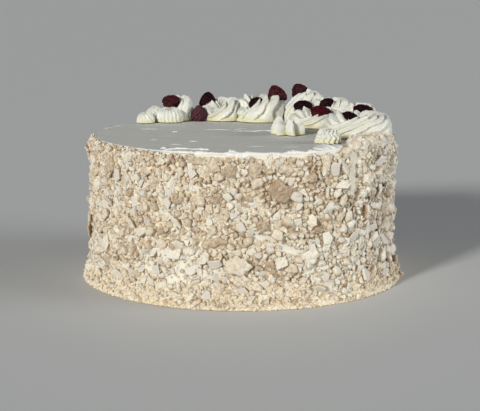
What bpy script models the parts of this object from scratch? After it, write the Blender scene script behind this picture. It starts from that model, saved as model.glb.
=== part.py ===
"""A raspberry meringue ice cream cake, 222 mm across its crumbed side and 104 mm tall without the piping.

A cream-coated cake carries crushed meringue pressed into its side and banked round its foot.
On its flat top lies a crescent of piped cream swirls and stars with frozen raspberries in it.
The origin is the centre of the flat base, +Z is up and -Y is the bare front of the top.
"""

import math
import random

import bmesh
import bpy
import numpy as np
from mathutils import Euler, Vector

# Driving dimensions of the cake, in metres.
CAKE_HEIGHT = 0.1042
WALL_RADIUS = 0.1092
TOP_EDGE_ROUNDING = 0.0022
FOOT_RADIUS = 0.1174
FOOT_BANK_HEIGHT = 0.022
BANK_CURVE = 1.6
WALL_STEPS = 96
WALL_ROWS = 11
CRAG_DEPTH = 0.0013
CLEARANCE = 0.0003
MERGE_DISTANCE = 0.00001
SEED = 11

# The bare strip of cream where the crumb coat parts, from rim to foot, on the right of the front.
PARTING_ANGLE = 43.0
PARTING_WIDTH = 0.0036
PARTING_DEPTH = 0.0020
PARTING_FOOT = 0.016
PARTING_TOP = CAKE_HEIGHT + 0.004
PARTING_POINTS = 9
PARTING_WANDER = 0.7

# Smears where the cream shows bare: degrees to the right of the front, height, half width, half height.
BARE_SMEARS = (
    (9.0, 0.0425, 0.0110, 0.0055),
    (-22.0, 0.0215, 0.0070, 0.0080),
    (27.0, 0.0225, 0.0090, 0.0050),
    (118.0, 0.0380, 0.0100, 0.0060),
    (-128.0, 0.0520, 0.0090, 0.0060),
)

# Meringue shards as large as a berry: name, degrees to the right, height, length, width, thickness, turn.
SHARDS = (
    ("shard_front", -1.5, 0.0299, 0.0190, 0.0140, 0.0042, -8.0),
    ("shard_brown", 12.7, 0.0787, 0.0180, 0.0140, 0.0042, -30.0),
    ("shard_right", 97.0, 0.0520, 0.0165, 0.0120, 0.0038, 35.0),
    ("shard_back", 171.0, 0.0310, 0.0175, 0.0130, 0.0040, 12.0),
    ("shard_back_left", -142.0, 0.0740, 0.0155, 0.0120, 0.0038, -40.0),
    ("shard_left", -84.0, 0.0340, 0.0160, 0.0125, 0.0040, 20.0),
)

# The large fused pieces that stand out at the front: degrees to the right, height, length, width, turn.
PLACED_PIECES = (
    (-10.5, 0.0965, 0.0125, 0.0115, 0.0),
    (-3.5, 0.0925, 0.0145, 0.0115, 15.0),
    (5.0, 0.0930, 0.0145, 0.0125, 0.0),
    (30.2, 0.0965, 0.0120, 0.0105, 80.0),
    (-46.0, 0.0800, 0.0140, 0.0110, 60.0),
    (-8.8, 0.0736, 0.0125, 0.0110, 10.0),
    (-23.3, 0.0720, 0.0120, 0.0085, -30.0),
    (-52.5, 0.0650, 0.0140, 0.0090, -65.0),
    (-40.6, 0.0675, 0.0120, 0.0085, 0.0),
    (-27.0, 0.0610, 0.0165, 0.0080, -25.0),
    (6.7, 0.0570, 0.0130, 0.0125, 0.0),
    (31.6, 0.0640, 0.0130, 0.0115, 20.0),
    (-29.5, 0.0510, 0.0130, 0.0085, 40.0),
    (-8.8, 0.0445, 0.0160, 0.0085, 0.0),
    (51.5, 0.0430, 0.0190, 0.0080, 85.0),
    (23.8, 0.0330, 0.0140, 0.0095, 25.0),
    (52.7, 0.0270, 0.0120, 0.0090, 40.0),
    (9.5, 0.0270, 0.0120, 0.0115, 0.0),
    (-8.3, 0.0130, 0.0135, 0.0115, 30.0),
    (85.0, 0.0790, 0.0135, 0.0175, 20.0),
    (39.0, 0.1012, 0.0100, 0.0090, 20.0),
    (49.5, 0.1040, 0.0100, 0.0085, 60.0),
    (57.0, 0.1040, 0.0105, 0.0088, 100.0),
    (63.5, 0.1025, 0.0095, 0.0078, 30.0),
    (69.5, 0.1000, 0.0090, 0.0075, 120.0),
)

# The other fused pieces: how many, and their longest side from first to last.
SIDE_PIECES = 21
LARGEST_PIECE = 0.0135
SMALLEST_PIECE = 0.0085
FOOT_PIECES = 15
FOOT_PIECE = 0.0075
FOOT_PIECE_LOWEST = 0.0045
FOOT_PIECE_HIGHEST = 0.0090
PIECE_CORNERS = 9
TRIES_FOR_A_PLACE = 60
PIECE_LEAN = 0.22
SHARD_SPACE = 0.0008

# Round pieces are shaded smooth, apart from edges that turn by more than this, in degrees.
CREASE_ANGLE = 24.0

# Piped swirls: name, centre x and y, radius, height, degrees where the rope of cream starts,
# ridges from foot to crest, ridges that it slants over in its one turn.
SWIRLS = (
    ("swirl_front", 0.0825, -0.0150, 0.0265, 0.0160, 190.0, 4, 9),
    ("swirl_inner", 0.0565, 0.0425, 0.0225, 0.0118, 200.0, 4, 8),
    ("swirl_right_rim", 0.0880, 0.0325, 0.0158, 0.0180, 180.0, 4, 7),
    ("swirl_far_right", 0.0705, 0.0605, 0.0160, 0.0195, 225.0, 4, 7),
    ("swirl_far_middle", 0.0490, 0.0790, 0.0185, 0.0232, 165.0, 4, 8),
    ("swirl_far", 0.0140, 0.0825, 0.0225, 0.0195, 210.0, 3, 8),
    ("swirl_far_left", -0.0150, 0.0900, 0.0205, 0.0170, 225.0, 3, 8),
    ("swirl_left", -0.0498, 0.0850, 0.0120, 0.0190, 240.0, 3, 7),
)

# Piped stars: name, centre x and y, radius, height, number of lobes, depth of the flutes,
# height of the middle, narrowing towards the top, turn to the left in degrees.
STARS = (
    ("star_front", 0.0594, -0.0575, 0.0100, 0.0098, 10, 0.14, 0.86, 0.40, 0.0),
    ("star_centre", 0.0334, -0.0112, 0.0130, 0.0132, 6, 0.38, 0.40, 0.50, 20.0),
    ("star_left", -0.0755, 0.0640, 0.0078, 0.0080, 9, 0.12, 1.00, 0.78, 0.0),
    ("star_left_behind", -0.0690, 0.0755, 0.0096, 0.0116, 8, 0.12, 1.04, 0.90, 0.0),
    ("star_left_low", -0.0575, 0.0715, 0.0116, 0.0102, 9, 0.07, 0.96, 0.50, 0.0),
)
STAR_RINGS = 7
STAR_BULGE = 0.08
STAR_NARROWING_CURVE = 1.4

# The rope of cream of a swirl, as shares of its height or in metres.
ROPE_HALF_WIDTH = 0.0105
ROPE_VALLEY_DEPTH = 0.0020
FOOT_CLIMB = -22.0
CREST_ALONG = 0.6
LOWEST_CREST = 0.50
ROPE_MIDDLE = 0.28
DIMPLE_FLOOR = 0.52
FULLNESS = 0.72
VALLEY_START = 0.08
# The rope is full from the first share of its turn to the second, and that much wider there.
ROPE_FULL_FROM = 0.26
ROPE_FULL_TO = 0.84
ROPE_WIDENING = 0.18
# How softly a dollop flattens against its neighbour, and how near a neighbour has to be.
PRESS_SOFTNESS = 0.0008
PRESS_REACH = 0.004

# Raspberries: name, centre x and y, height above the top, radius, lean and turn in degrees.
BERRIES = (
    ("raspberry_left", -0.0563, 0.0835, 0.0140, 0.0073, 58.0, 80.0),
    ("raspberry_far_left", -0.0275, 0.0955, 0.0136, 0.0078, 0.0, 100.0),
    ("raspberry_on_top_cream", -0.0341, 0.0795, 0.0052, 0.0070, 0.0, 150.0),
    ("raspberry_far_sunk", 0.0124, 0.0780, 0.0130, 0.0072, 60.0, 20.0),
    ("raspberry_far_tall", 0.0277, 0.0850, 0.0196, 0.0084, 22.0, 260.0),
    ("raspberry_far_middle", 0.0466, 0.0915, 0.0216, 0.0078, 40.0, 310.0),
    ("raspberry_middle", 0.0480, 0.0620, 0.0118, 0.0074, 60.0, 80.0),
    ("raspberry_inner", 0.0600, 0.0340, 0.0092, 0.0086, 75.0, 90.0),
    ("raspberry_far_right", 0.0668, 0.0590, 0.0149, 0.0060, 50.0, 60.0),
    ("raspberry_front_sunk", 0.0788, -0.0040, 0.0112, 0.0064, 80.0, 80.0),
    ("raspberry_front", 0.0899, 0.0085, 0.0131, 0.0082, 75.0, 90.0),
)
BERRY_COLUMNS = 12
BERRY_RINGS = 7
BERRY_TALLNESS = 1.08
BERRY_TAPER = 0.26
BERRY_BASE = -0.72
BERRY_HOLLOW = -0.25
DRUPELET_RELIEF = 0.09
POCKET_SCALE = 1.07

# Colour, roughness and metallic value of each finish.
FINISHES = {
    "crumbed_cream": ((0.76, 0.68, 0.54, 1.0), 0.75, 0.0),
    "piped_cream": ((0.86, 0.85, 0.77, 1.0), 0.50, 0.0),
    "meringue": ((0.74, 0.66, 0.53, 1.0), 0.80, 0.0),
    "frozen_raspberry": ((0.16, 0.015, 0.025, 1.0), 0.40, 0.0),
}


def clear_scene():
    for old in list(bpy.data.objects):
        bpy.data.objects.remove(old)


def finish(name):
    """One Principled material for a named finish."""
    found = bpy.data.materials.get(name)
    if found:
        return found
    colour, roughness, metallic = FINISHES[name]
    material = bpy.data.materials.new(name)
    material.use_nodes = True
    shader = material.node_tree.nodes["Principled BSDF"]
    shader.inputs["Base Color"].default_value = colour
    shader.inputs["Roughness"].default_value = roughness
    shader.inputs["Metallic"].default_value = metallic
    return material


def add_object(name, mesh, collection, finish_name):
    """A new object in a collection, with its finish."""
    made = bpy.data.objects.new(name, mesh)
    collection.objects.link(made)
    mesh.materials.clear()
    mesh.materials.append(finish(finish_name))
    return made


def shade_round(mesh):
    """Smooth shading with crisp creases."""
    mesh.shade_smooth()
    mesh.set_sharp_from_angle(angle=math.radians(CREASE_ANGLE))


def bake_modifiers(made):
    """Puts the evaluated mesh in place of the object's own, with its modifiers gone."""
    graph = bpy.context.evaluated_depsgraph_get()
    graph.update()
    baked = bpy.data.meshes.new_from_object(made.evaluated_get(graph))
    made.modifiers.clear()
    made.data = baked


def shaped_ball(name, columns, rings, place):
    """A UV sphere whose points are moved to place(angle, rise), where rise runs from 0 below to 1 above."""
    bpy.ops.mesh.primitive_uv_sphere_add(segments=columns, ring_count=rings, radius=1.0)
    ball = bpy.context.object
    mesh = ball.data
    mesh.name = name
    bpy.data.objects.remove(ball)
    unit = np.empty(len(mesh.vertices) * 3)
    mesh.vertices.foreach_get("co", unit)
    unit = unit.reshape(-1, 3)
    angle = np.arctan2(unit[:, 1], unit[:, 0])
    rise = 1.0 - np.arccos(np.clip(unit[:, 2], -1.0, 1.0)) / math.pi
    mesh.vertices.foreach_set("co", place(angle, rise).ravel())
    mesh.update()
    shade_round(mesh)
    return mesh


def smooth_step(value):
    value = np.clip(value, 0.0, 1.0)
    return value * value * (3.0 - 2.0 * value)


# The piped cream.


def valley(phase):
    """1 in the narrow valley at each whole number and near 0 over the ridge between two of them."""
    return np.abs(np.cos(math.pi * phase)) ** 3


def rope_share(turned):
    """How full the rope of cream is along its one turn: thin where it starts, and closing down at its end."""
    swelling = smooth_step(turned / ROPE_FULL_FROM)
    closing = smooth_step((turned - ROPE_FULL_TO) / (1.0 - ROPE_FULL_TO))
    return swelling * (1.0 - closing)


def swirl_place(radius, height, start, ridges, slant, rings):
    """The surface of a swirl: a ridged rope of cream laid once round a dimple, on a flat foot.

    Going up the outside, the ridges climb as the rope goes round, and carry on over its crest."""
    half_width = min(ROPE_HALF_WIDTH, radius * 0.55)
    hub = radius - half_width
    foot_rise = 1.0 / rings

    def place(angle, rise):
        turned = np.mod(angle, 2.0 * math.pi) / (2.0 * math.pi)
        share = rope_share(turned)
        along = np.clip((rise - foot_rise) / (1.0 - foot_rise), 0.0, 1.0)
        outer = np.clip(along / CREST_ALONG, 0.0, 1.0)
        inner = np.clip((along - CREST_ALONG) / (1.0 - CREST_ALONG), 0.0, 1.0)
        crest = height * (LOWEST_CREST + (1.0 - LOWEST_CREST) * share)
        climb = np.radians(FOOT_CLIMB + (90.0 - FOOT_CLIMB) * outer)
        rope_centre = ROPE_MIDDLE * crest
        bulge = half_width * (1.0 - ROPE_WIDENING * (1.0 - share))
        swollen = hub + bulge * np.maximum(np.cos(climb), 0.0) ** FULLNESS
        reach = np.where(inner > 0.0, hub * (1.0 - inner), swollen)
        dimple = np.minimum(DIMPLE_FLOOR * height, 0.8 * crest)
        dip = dimple + (crest - dimple) * 0.5 * (1.0 + np.cos(math.pi * inner))
        climbing = np.maximum(rope_centre + (crest - rope_centre) * np.sin(climb), 0.0)
        level = np.where(inner > 0.0, dip, climbing)
        groove = ROPE_VALLEY_DEPTH * valley(ridges * outer - slant * turned)
        groove = groove * smooth_step(along / VALLEY_START) * (1.0 - inner)
        reach = reach - groove * np.cos(climb)
        level = level - groove * np.clip(np.sin(climb), 0.0, 1.0)
        level = np.where(rise <= foot_rise, 0.0, level)
        reach = np.where(rise < 0.5 * foot_rise, 0.0, reach)
        round_about = angle + math.radians(start)
        return np.column_stack((reach * np.cos(round_about), reach * np.sin(round_about), level))

    return place


def star_place(radius, height, lobes, depth, middle, narrowing, facing, rings):
    """The surface of a star: lobes that bulge over the foot, lean a little and end in tips round the middle."""
    foot_rise = 1.0 / rings

    def place(angle, rise):
        along = np.clip((rise - foot_rise) / (1.0 - foot_rise), 0.0, 1.0)
        flute = 0.5 - 0.5 * np.cos(lobes * (angle + 0.5 * along))
        reach = radius * (1.0 - narrowing * along ** STAR_NARROWING_CURVE)
        reach = reach * (1.0 + STAR_BULGE * np.sin(math.pi * along)) / (1.0 + 0.4 * STAR_BULGE)
        reach = reach * (1.0 - depth * flute)
        reach = np.where(rise < 0.5 * foot_rise, 0.0, reach)
        reach = np.where(rise > 1.0 - 1e-6, 0.0, reach)
        level = height * np.sin(0.5 * math.pi * along) ** 0.9 * (1.0 - depth * flute * along)
        level = np.where(rise > 1.0 - 1e-6, height * middle, level)
        round_about = angle + math.radians(facing)
        return np.column_stack((reach * np.cos(round_about), reach * np.sin(round_about), level))

    return place


def piped_neighbours(name):
    """Centre and radius of every other swirl and star."""
    return [(Vector((x, y)), radius) for other, x, y, radius, *rest in SWIRLS + STARS if other != name]


def squeeze(mesh, centre, radius, neighbours):
    """Presses a dollop against its neighbours: it flattens softly along the line between two of them."""
    points = np.empty(len(mesh.vertices) * 3)
    mesh.vertices.foreach_get("co", points)
    points = points.reshape(-1, 3)
    for other, other_radius in neighbours:
        apart = (other - centre).length
        if apart > radius + other_radius + PRESS_REACH:
            continue
        toward = np.array((other - centre) / apart)
        share = (apart * apart + radius * radius - other_radius * other_radius) / (2.0 * apart)
        limit = share - 0.5 * CLEARANCE - 0.0001
        past = points[:, :2] @ toward - limit
        back = PRESS_SOFTNESS * np.logaddexp(0.0, past / PRESS_SOFTNESS)
        points[:, :2] -= np.outer(back, toward)
    mesh.vertices.foreach_set("co", points.ravel())
    mesh.update()


def lay_on_top(made, centre):
    made.location = (centre.x, centre.y, CAKE_HEIGHT + CLEARANCE)


def pipe_swirls(collection, pockets):
    for name, x, y, radius, height, start, ridges, slant in SWIRLS:
        rings = 3 * ridges + 2
        centre = Vector((x, y))
        mesh = shaped_ball(name, 3 * slant, rings, swirl_place(radius, height, start, ridges, slant, rings))
        squeeze(mesh, centre, radius, piped_neighbours(name))
        made = add_object(name, mesh, collection, "piped_cream")
        lay_on_top(made, centre)
        press_berries_in(made, pockets)


def pipe_stars(collection, pockets):
    for name, x, y, radius, height, lobes, depth, middle, narrowing, facing in STARS:
        centre = Vector((x, y))
        place = star_place(radius, height, lobes, depth, middle, narrowing, facing, STAR_RINGS)
        mesh = shaped_ball(name, 2 * lobes, STAR_RINGS, place)
        squeeze(mesh, centre, radius, piped_neighbours(name))
        made = add_object(name, mesh, collection, "piped_cream")
        lay_on_top(made, centre)
        press_berries_in(made, pockets)


def press_berries_in(made, pockets):
    """Cuts the hollows that the berries have pressed into a dollop."""
    cut = made.modifiers.new("berry pockets", "BOOLEAN")
    cut.operation = "DIFFERENCE"
    cut.operand_type = "COLLECTION"
    cut.collection = pockets


# The raspberries.


def berry_place(angle, rise):
    """A unit raspberry, tip up: it tapers from a flat foot, which is hollow where the stem was.

    Its drupelets stand out in a chequered pattern."""
    tilt = math.pi * (1.0 - rise)
    column = np.rint(angle / (2.0 * math.pi) * BERRY_COLUMNS)
    ring = np.rint(rise * BERRY_RINGS)
    bump = np.where(np.mod(column + ring, 2) < 1, 1.0, 1.0 - 2.0 * DRUPELET_RELIEF)
    bump = np.where((rise < 0.02) | (rise > 0.98), 1.0 - DRUPELET_RELIEF, bump)
    reach = np.sin(tilt) * bump * (1.0 - BERRY_TAPER * (0.4 + np.cos(tilt)))
    level = np.maximum(np.cos(tilt) * bump * BERRY_TALLNESS, BERRY_BASE)
    level = np.where(rise < 0.02, BERRY_HOLLOW, level)
    return np.column_stack((reach * np.cos(angle), reach * np.sin(angle), level))


def pocket_mesh(berry):
    """The hull of a raspberry, a little larger than it, which cuts the hollow that it lies in."""
    shell = bmesh.new()
    shell.from_mesh(berry)
    found = bmesh.ops.convex_hull(shell, input=shell.verts)
    inside = [v for v in found["geom_interior"] if isinstance(v, bmesh.types.BMVert)]
    bmesh.ops.delete(shell, geom=inside, context="VERTS")
    bmesh.ops.scale(shell, vec=(POCKET_SCALE,) * 3, verts=shell.verts)
    bmesh.ops.recalc_face_normals(shell, faces=shell.faces)
    mesh = bpy.data.meshes.new("raspberry_pocket")
    shell.to_mesh(mesh)
    shell.free()
    return mesh


def set_berries(collection, pockets):
    """The raspberries, which share one mesh, and the cutters for their pockets."""
    berry = shaped_ball("raspberry", BERRY_COLUMNS, BERRY_RINGS, berry_place)
    pocket = pocket_mesh(berry)
    for name, x, y, height, radius, lean, turn in BERRIES:
        for made in (
            add_object(name, berry, collection, "frozen_raspberry"),
            add_object(name + "_pocket", pocket, pockets, "frozen_raspberry"),
        ):
            made.location = (x, y, CAKE_HEIGHT + height)
            made.rotation_euler = Euler((math.radians(lean), 0.0, math.radians(turn)))
            made.scale = (radius, radius, radius)
    for cutter in pockets.objects:
        cutter.hide_render = True
        cutter.display_type = "WIRE"


# The cake and the meringue on it.


def bank_reach(height):
    """Radius of the wall at a height, which widens over the bank of crumbs at the foot."""
    share = max(0.0, 1.0 - height / FOOT_BANK_HEIGHT)
    return WALL_RADIUS + (FOOT_RADIUS - WALL_RADIUS) * share ** BANK_CURVE


def body_profile():
    """Outer side of the cake, from the middle of the top down the wall and over the bank to the base."""
    rim = WALL_RADIUS - TOP_EDGE_ROUNDING
    points = [(0.0, CAKE_HEIGHT), (rim * 0.55, CAKE_HEIGHT), (rim, CAKE_HEIGHT)]
    points.append((rim + 0.7 * TOP_EDGE_ROUNDING, CAKE_HEIGHT - 0.3 * TOP_EDGE_ROUNDING))
    wall_top = CAKE_HEIGHT - TOP_EDGE_ROUNDING
    for row in range(WALL_ROWS + 1):
        points.append((WALL_RADIUS, wall_top + (FOOT_BANK_HEIGHT - wall_top) * row / WALL_ROWS))
    for share in (0.55, 0.20, 0.0):
        points.append((bank_reach(share * FOOT_BANK_HEIGHT), share * FOOT_BANK_HEIGHT))
    points.append((0.0, 0.0))
    return points


def turned_body(collection):
    """The profile turned about the axis."""
    profile = bpy.data.meshes.new("cake")
    points = [(x, 0.0, z) for x, z in body_profile()]
    profile.from_pydata(points, [(i, i + 1) for i in range(len(points) - 1)], [])
    made = add_object("cake", profile, collection, "crumbed_cream")
    screw = made.modifiers.new("turn", "SCREW")
    screw.steps = WALL_STEPS
    screw.render_steps = WALL_STEPS
    screw.use_smooth_shade = False
    screw.use_merge_vertices = True
    screw.merge_threshold = MERGE_DISTANCE
    bake_modifiers(made)
    return made


def roughen_wall(made, draw):
    """Moves the points of the wall and the bank in and out, so that the crumb coat is craggy all over."""
    for vertex in made.data.vertices:
        reach = math.hypot(vertex.co.x, vertex.co.y)
        on_side = reach > WALL_RADIUS - 0.0001
        on_base = vertex.co.z < 0.0001
        if not on_side:
            continue
        push = CRAG_DEPTH * (2.0 * draw.random() - 1.0)
        scale = (reach + (0.3 * push if on_base else push)) / reach
        vertex.co.x *= scale
        vertex.co.y *= scale
        if not on_base:
            vertex.co.z += 0.5 * CRAG_DEPTH * (2.0 * draw.random() - 1.0)


def cut_parting(made, cutters):
    """Cuts the shallow strip where the crumb coat parts, along a slightly wandering line."""
    line = bpy.data.curves.new("parting", "CURVE")
    line.dimensions = "3D"
    line.bevel_depth = 0.5 * PARTING_WIDTH
    line.bevel_resolution = 0
    line.use_fill_caps = True
    spline = line.splines.new("POLY")
    spline.points.add(PARTING_POINTS - 1)
    reach = WALL_RADIUS + 0.5 * PARTING_WIDTH - PARTING_DEPTH
    for index in range(PARTING_POINTS):
        share = index / (PARTING_POINTS - 1)
        height = PARTING_FOOT + (PARTING_TOP - PARTING_FOOT) * share
        angle = math.radians(PARTING_ANGLE + PARTING_WANDER * math.sin(7.0 * share))
        spline.points[index].co = (reach * math.sin(angle), -reach * math.cos(angle), height, 1.0)
    guide = bpy.data.objects.new("parting", line)
    cutters.objects.link(guide)
    graph = bpy.context.evaluated_depsgraph_get()
    graph.update()
    tube = bpy.data.meshes.new_from_object(guide.evaluated_get(graph))
    shell = bmesh.new()
    shell.from_mesh(tube)
    bmesh.ops.remove_doubles(shell, verts=shell.verts, dist=MERGE_DISTANCE)
    bmesh.ops.recalc_face_normals(shell, faces=shell.faces)
    shell.to_mesh(tube)
    shell.free()
    cutter = add_object("parting_cutter", tube, cutters, "crumbed_cream")
    bpy.data.objects.remove(guide)
    cut = made.modifiers.new("parting", "BOOLEAN")
    cut.operation = "DIFFERENCE"
    cut.object = cutter
    bake_modifiers(made)
    bpy.data.objects.remove(cutter)


def broken_piece(name, draw, length, width, thickness):
    """A broken piece of meringue: the hull of a few corners near a flat ellipsoid, brought to size."""
    corners = []
    for index in range(PIECE_CORNERS):
        around = 2.0 * math.pi * (index + 0.5 * draw.random()) / PIECE_CORNERS
        up = draw.uniform(-0.8, 0.8)
        flat = math.sqrt(1.0 - up * up) * draw.uniform(0.85, 1.0)
        corners.append((flat * math.cos(around), flat * math.sin(around), up))
    corners = np.array(corners)
    low = corners.min(axis=0)
    high = corners.max(axis=0)
    corners = (corners - 0.5 * (low + high)) / (high - low) * np.array((length, width, thickness))
    shell = bmesh.new()
    for corner in corners:
        shell.verts.new(corner)
    found = bmesh.ops.convex_hull(shell, input=shell.verts)
    inside = [v for v in found["geom_interior"] if isinstance(v, bmesh.types.BMVert)]
    bmesh.ops.delete(shell, geom=inside, context="VERTS")
    bmesh.ops.recalc_face_normals(shell, faces=shell.faces)
    mesh = bpy.data.meshes.new(name)
    shell.to_mesh(mesh)
    shell.free()
    return mesh


def lay_on_side(made, angle, height, reach, turn, lean):
    """Lays a flat piece on the wall, its thickness along the way out, turned in the wall and leaned."""
    outward = Vector((math.sin(math.radians(angle)), -math.cos(math.radians(angle)), 0.0))
    made.location = outward * reach + Vector((0.0, 0.0, height))
    facing = outward.to_track_quat("Z", "Y")
    made.rotation_mode = "QUATERNION"
    made.rotation_quaternion = facing @ Euler((lean[0], lean[1], math.radians(turn))).to_quaternion()


def apart_on_wall(angle, other):
    """Distance round the wall between two angles in degrees."""
    return abs(math.remainder(angle - other, 360.0)) * math.radians(1.0) * WALL_RADIUS


def on_bare_cream(angle, height, size):
    """True where a piece would lie on a smear of bare cream, on the parting or on a berry-sized shard."""
    if apart_on_wall(angle, PARTING_ANGLE) < 0.5 * size + 0.5 * PARTING_WIDTH:
        return True
    for smear, middle, half_width, half_height in BARE_SMEARS:
        across = apart_on_wall(angle, smear) / (half_width + 0.3 * size)
        along = (height - middle) / (half_height + 0.3 * size)
        if across * across + along * along < 1.0:
            return True
    for name, shard, middle, length, *rest in SHARDS:
        if math.hypot(apart_on_wall(angle, shard), height - middle) < 0.5 * (length + size) + SHARD_SPACE:
            return True
    return False


def spread_places(draw):
    """The placed pieces, then others largest first, each where it is farthest from all before it."""
    places = [(angle, height, length, width, turn) for angle, height, length, width, turn in PLACED_PIECES]
    for index in range(SIDE_PIECES):
        size = LARGEST_PIECE + (SMALLEST_PIECE - LARGEST_PIECE) * index / (SIDE_PIECES - 1)
        best = (-1.0, None)
        for attempt in range(TRIES_FOR_A_PLACE):
            angle = draw.uniform(-180.0, 180.0)
            height = draw.uniform(0.016, CAKE_HEIGHT - 0.001 - 0.5 * size)
            if on_bare_cream(angle, height, size):
                continue
            room = min(math.hypot(apart_on_wall(angle, place[0]), height - place[1]) for place in places)
            if room > best[0]:
                best = (room, (angle, height))
        angle, height = best[1]
        places.append((angle, height, size, size * draw.uniform(0.65, 0.90), draw.uniform(0.0, 180.0)))
    for index in range(FOOT_PIECES):
        angle = -180.0 + 360.0 * (index + 0.7 * draw.random()) / FOOT_PIECES
        height = draw.uniform(FOOT_PIECE_LOWEST, FOOT_PIECE_HIGHEST)
        places.append((angle, height, FOOT_PIECE, 0.8 * FOOT_PIECE, draw.uniform(0.0, 180.0)))
    return places


def meringue_pieces(draw, collection):
    """Every piece that is fused to the side and to the bank at its foot."""
    for index, (angle, height, length, width, turn) in enumerate(spread_places(draw)):
        name = f"piece_{index}"
        thickness = width * draw.uniform(0.50, 0.70)
        made = add_object(name, broken_piece(name, draw, length, width, thickness), collection, "meringue")
        lean = (draw.uniform(-PIECE_LEAN, PIECE_LEAN), draw.uniform(-PIECE_LEAN, PIECE_LEAN))
        lay_on_side(made, angle, height, bank_reach(height) + 0.04 * thickness, turn, lean)


def fuse_pieces(made, pieces):
    """Joins the pieces to the cake in one union, then removes them."""
    join = made.modifiers.new("meringue", "BOOLEAN")
    join.operation = "UNION"
    join.operand_type = "COLLECTION"
    join.collection = pieces
    bake_modifiers(made)
    for piece in list(pieces.objects):
        bpy.data.objects.remove(piece)
    drop_scraps(made)


def drop_scraps(made):
    """Keeps the largest body of a mesh and drops any piece that doesn't touch it."""
    shell = bmesh.new()
    shell.from_mesh(made.data)
    waiting = set(shell.verts)
    bodies = []
    while waiting:
        body = set()
        edge_of_search = [waiting.pop()]
        while edge_of_search:
            vertex = edge_of_search.pop()
            body.add(vertex)
            near = {edge.other_vert(vertex) for edge in vertex.link_edges} & waiting
            waiting -= near
            edge_of_search.extend(near)
        bodies.append(body)
    bodies.sort(key=len)
    for body in bodies[:-1]:
        bmesh.ops.delete(shell, geom=list(body), context="VERTS")
    shell.to_mesh(made.data)
    shell.free()


def set_shards(collection, draw):
    """The berry-sized shards, each a separate piece that lies flat against the wall."""
    for name, angle, height, length, width, thickness, turn in SHARDS:
        mesh = broken_piece(name, draw, length, width, thickness)
        made = add_object(name, mesh, collection, "meringue")
        reach = WALL_RADIUS + CRAG_DEPTH + 0.5 * thickness + CLEARANCE
        lay_on_side(made, angle, height, reach, turn, (0.0, 0.0))


def new_collection(name):
    made = bpy.data.collections.new(name)
    bpy.context.scene.collection.children.link(made)
    return made


def main():
    clear_scene()
    draw = random.Random(SEED)
    cake_parts = new_collection("raspberry meringue cake")
    cutters = new_collection("cutters")
    pieces = new_collection("meringue pieces")
    pockets = new_collection("berry pockets")
    cake = turned_body(cake_parts)
    roughen_wall(cake, random.Random(SEED + 1))
    cut_parting(cake, cutters)
    meringue_pieces(draw, pieces)
    fuse_pieces(cake, pieces)
    shade_round(cake.data)
    set_shards(cake_parts, draw)
    set_berries(cake_parts, pockets)
    pipe_swirls(cake_parts, pockets)
    pipe_stars(cake_parts, pockets)


main()
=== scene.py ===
import math
import random

import bmesh
import bpy
import numpy as np
from mathutils import Euler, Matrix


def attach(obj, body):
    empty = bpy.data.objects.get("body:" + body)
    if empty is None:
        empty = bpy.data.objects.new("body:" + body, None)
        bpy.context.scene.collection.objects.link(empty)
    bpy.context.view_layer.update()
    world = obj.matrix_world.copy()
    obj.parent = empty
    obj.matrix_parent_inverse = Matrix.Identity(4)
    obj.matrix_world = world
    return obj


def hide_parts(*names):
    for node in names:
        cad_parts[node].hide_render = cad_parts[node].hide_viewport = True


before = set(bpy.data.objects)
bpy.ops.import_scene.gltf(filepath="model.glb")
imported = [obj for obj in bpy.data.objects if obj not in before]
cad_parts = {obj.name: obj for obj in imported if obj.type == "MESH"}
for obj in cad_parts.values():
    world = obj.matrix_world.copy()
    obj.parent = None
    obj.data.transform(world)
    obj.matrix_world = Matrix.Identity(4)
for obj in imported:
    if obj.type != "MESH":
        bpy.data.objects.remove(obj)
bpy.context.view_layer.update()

# The stage: a plain pale floor out to the horizon, a soft key light from the front left, a broad fill from
# the right and a pale grey surround. The camera looks down from a little above the cake's top edge.
camera = bpy.data.objects.new("camera", bpy.data.cameras.new("camera"))
camera.data.sensor_width = 36.0
camera.data.lens = 94.73
camera.data.clip_start = 0.02
camera.data.clip_end = 100.0
camera.location = (-0.0015, -0.92524, 0.21756)
camera.rotation_euler = (math.radians(79.71), 0.0, 0.0)
bpy.context.scene.collection.objects.link(camera)
bpy.context.scene.camera = camera
bpy.context.scene.view_settings.view_transform = "Standard"


def add_sun(name, height, toward, strength, softness, colour):
    """A sun lamp: degrees above the floor and to the right of the front, strength, and width in degrees."""
    light = bpy.data.lights.new(name, "SUN")
    light.energy = strength
    light.angle = math.radians(softness)
    light.color = colour
    lamp = bpy.data.objects.new(name, light)
    lamp.rotation_euler = (math.radians(90.0 - height), 0.0, math.radians(toward))
    bpy.context.scene.collection.objects.link(lamp)


add_sun("key light", 20.0, -36.0, 2.60, 9.0, (1.0, 0.985, 0.945))
add_sun("fill light", 10.0, 78.0, 2.3, 40.0, (0.98, 0.99, 1.0))
surround = bpy.data.worlds.new("surround")
surround.use_nodes = True
surround.node_tree.nodes["Background"].inputs["Color"].default_value = (0.86, 0.90, 0.95, 1.0)
surround.node_tree.nodes["Background"].inputs["Strength"].default_value = 0.15
bpy.context.scene.world = surround

bpy.ops.mesh.primitive_plane_add(size=120.0, location=(0.0, 0.0, -0.0002))
floor = bpy.context.object
floor.name = "floor"
floor_paint = bpy.data.materials.new("floor paint")
floor_paint.use_nodes = True
floor_shader = floor_paint.node_tree.nodes["Principled BSDF"]
floor_shader.inputs["Base Color"].default_value = (0.62, 0.63, 0.63, 1.0)
floor_shader.inputs["Roughness"].default_value = 0.7
floor.data.materials.append(floor_paint)

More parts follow.
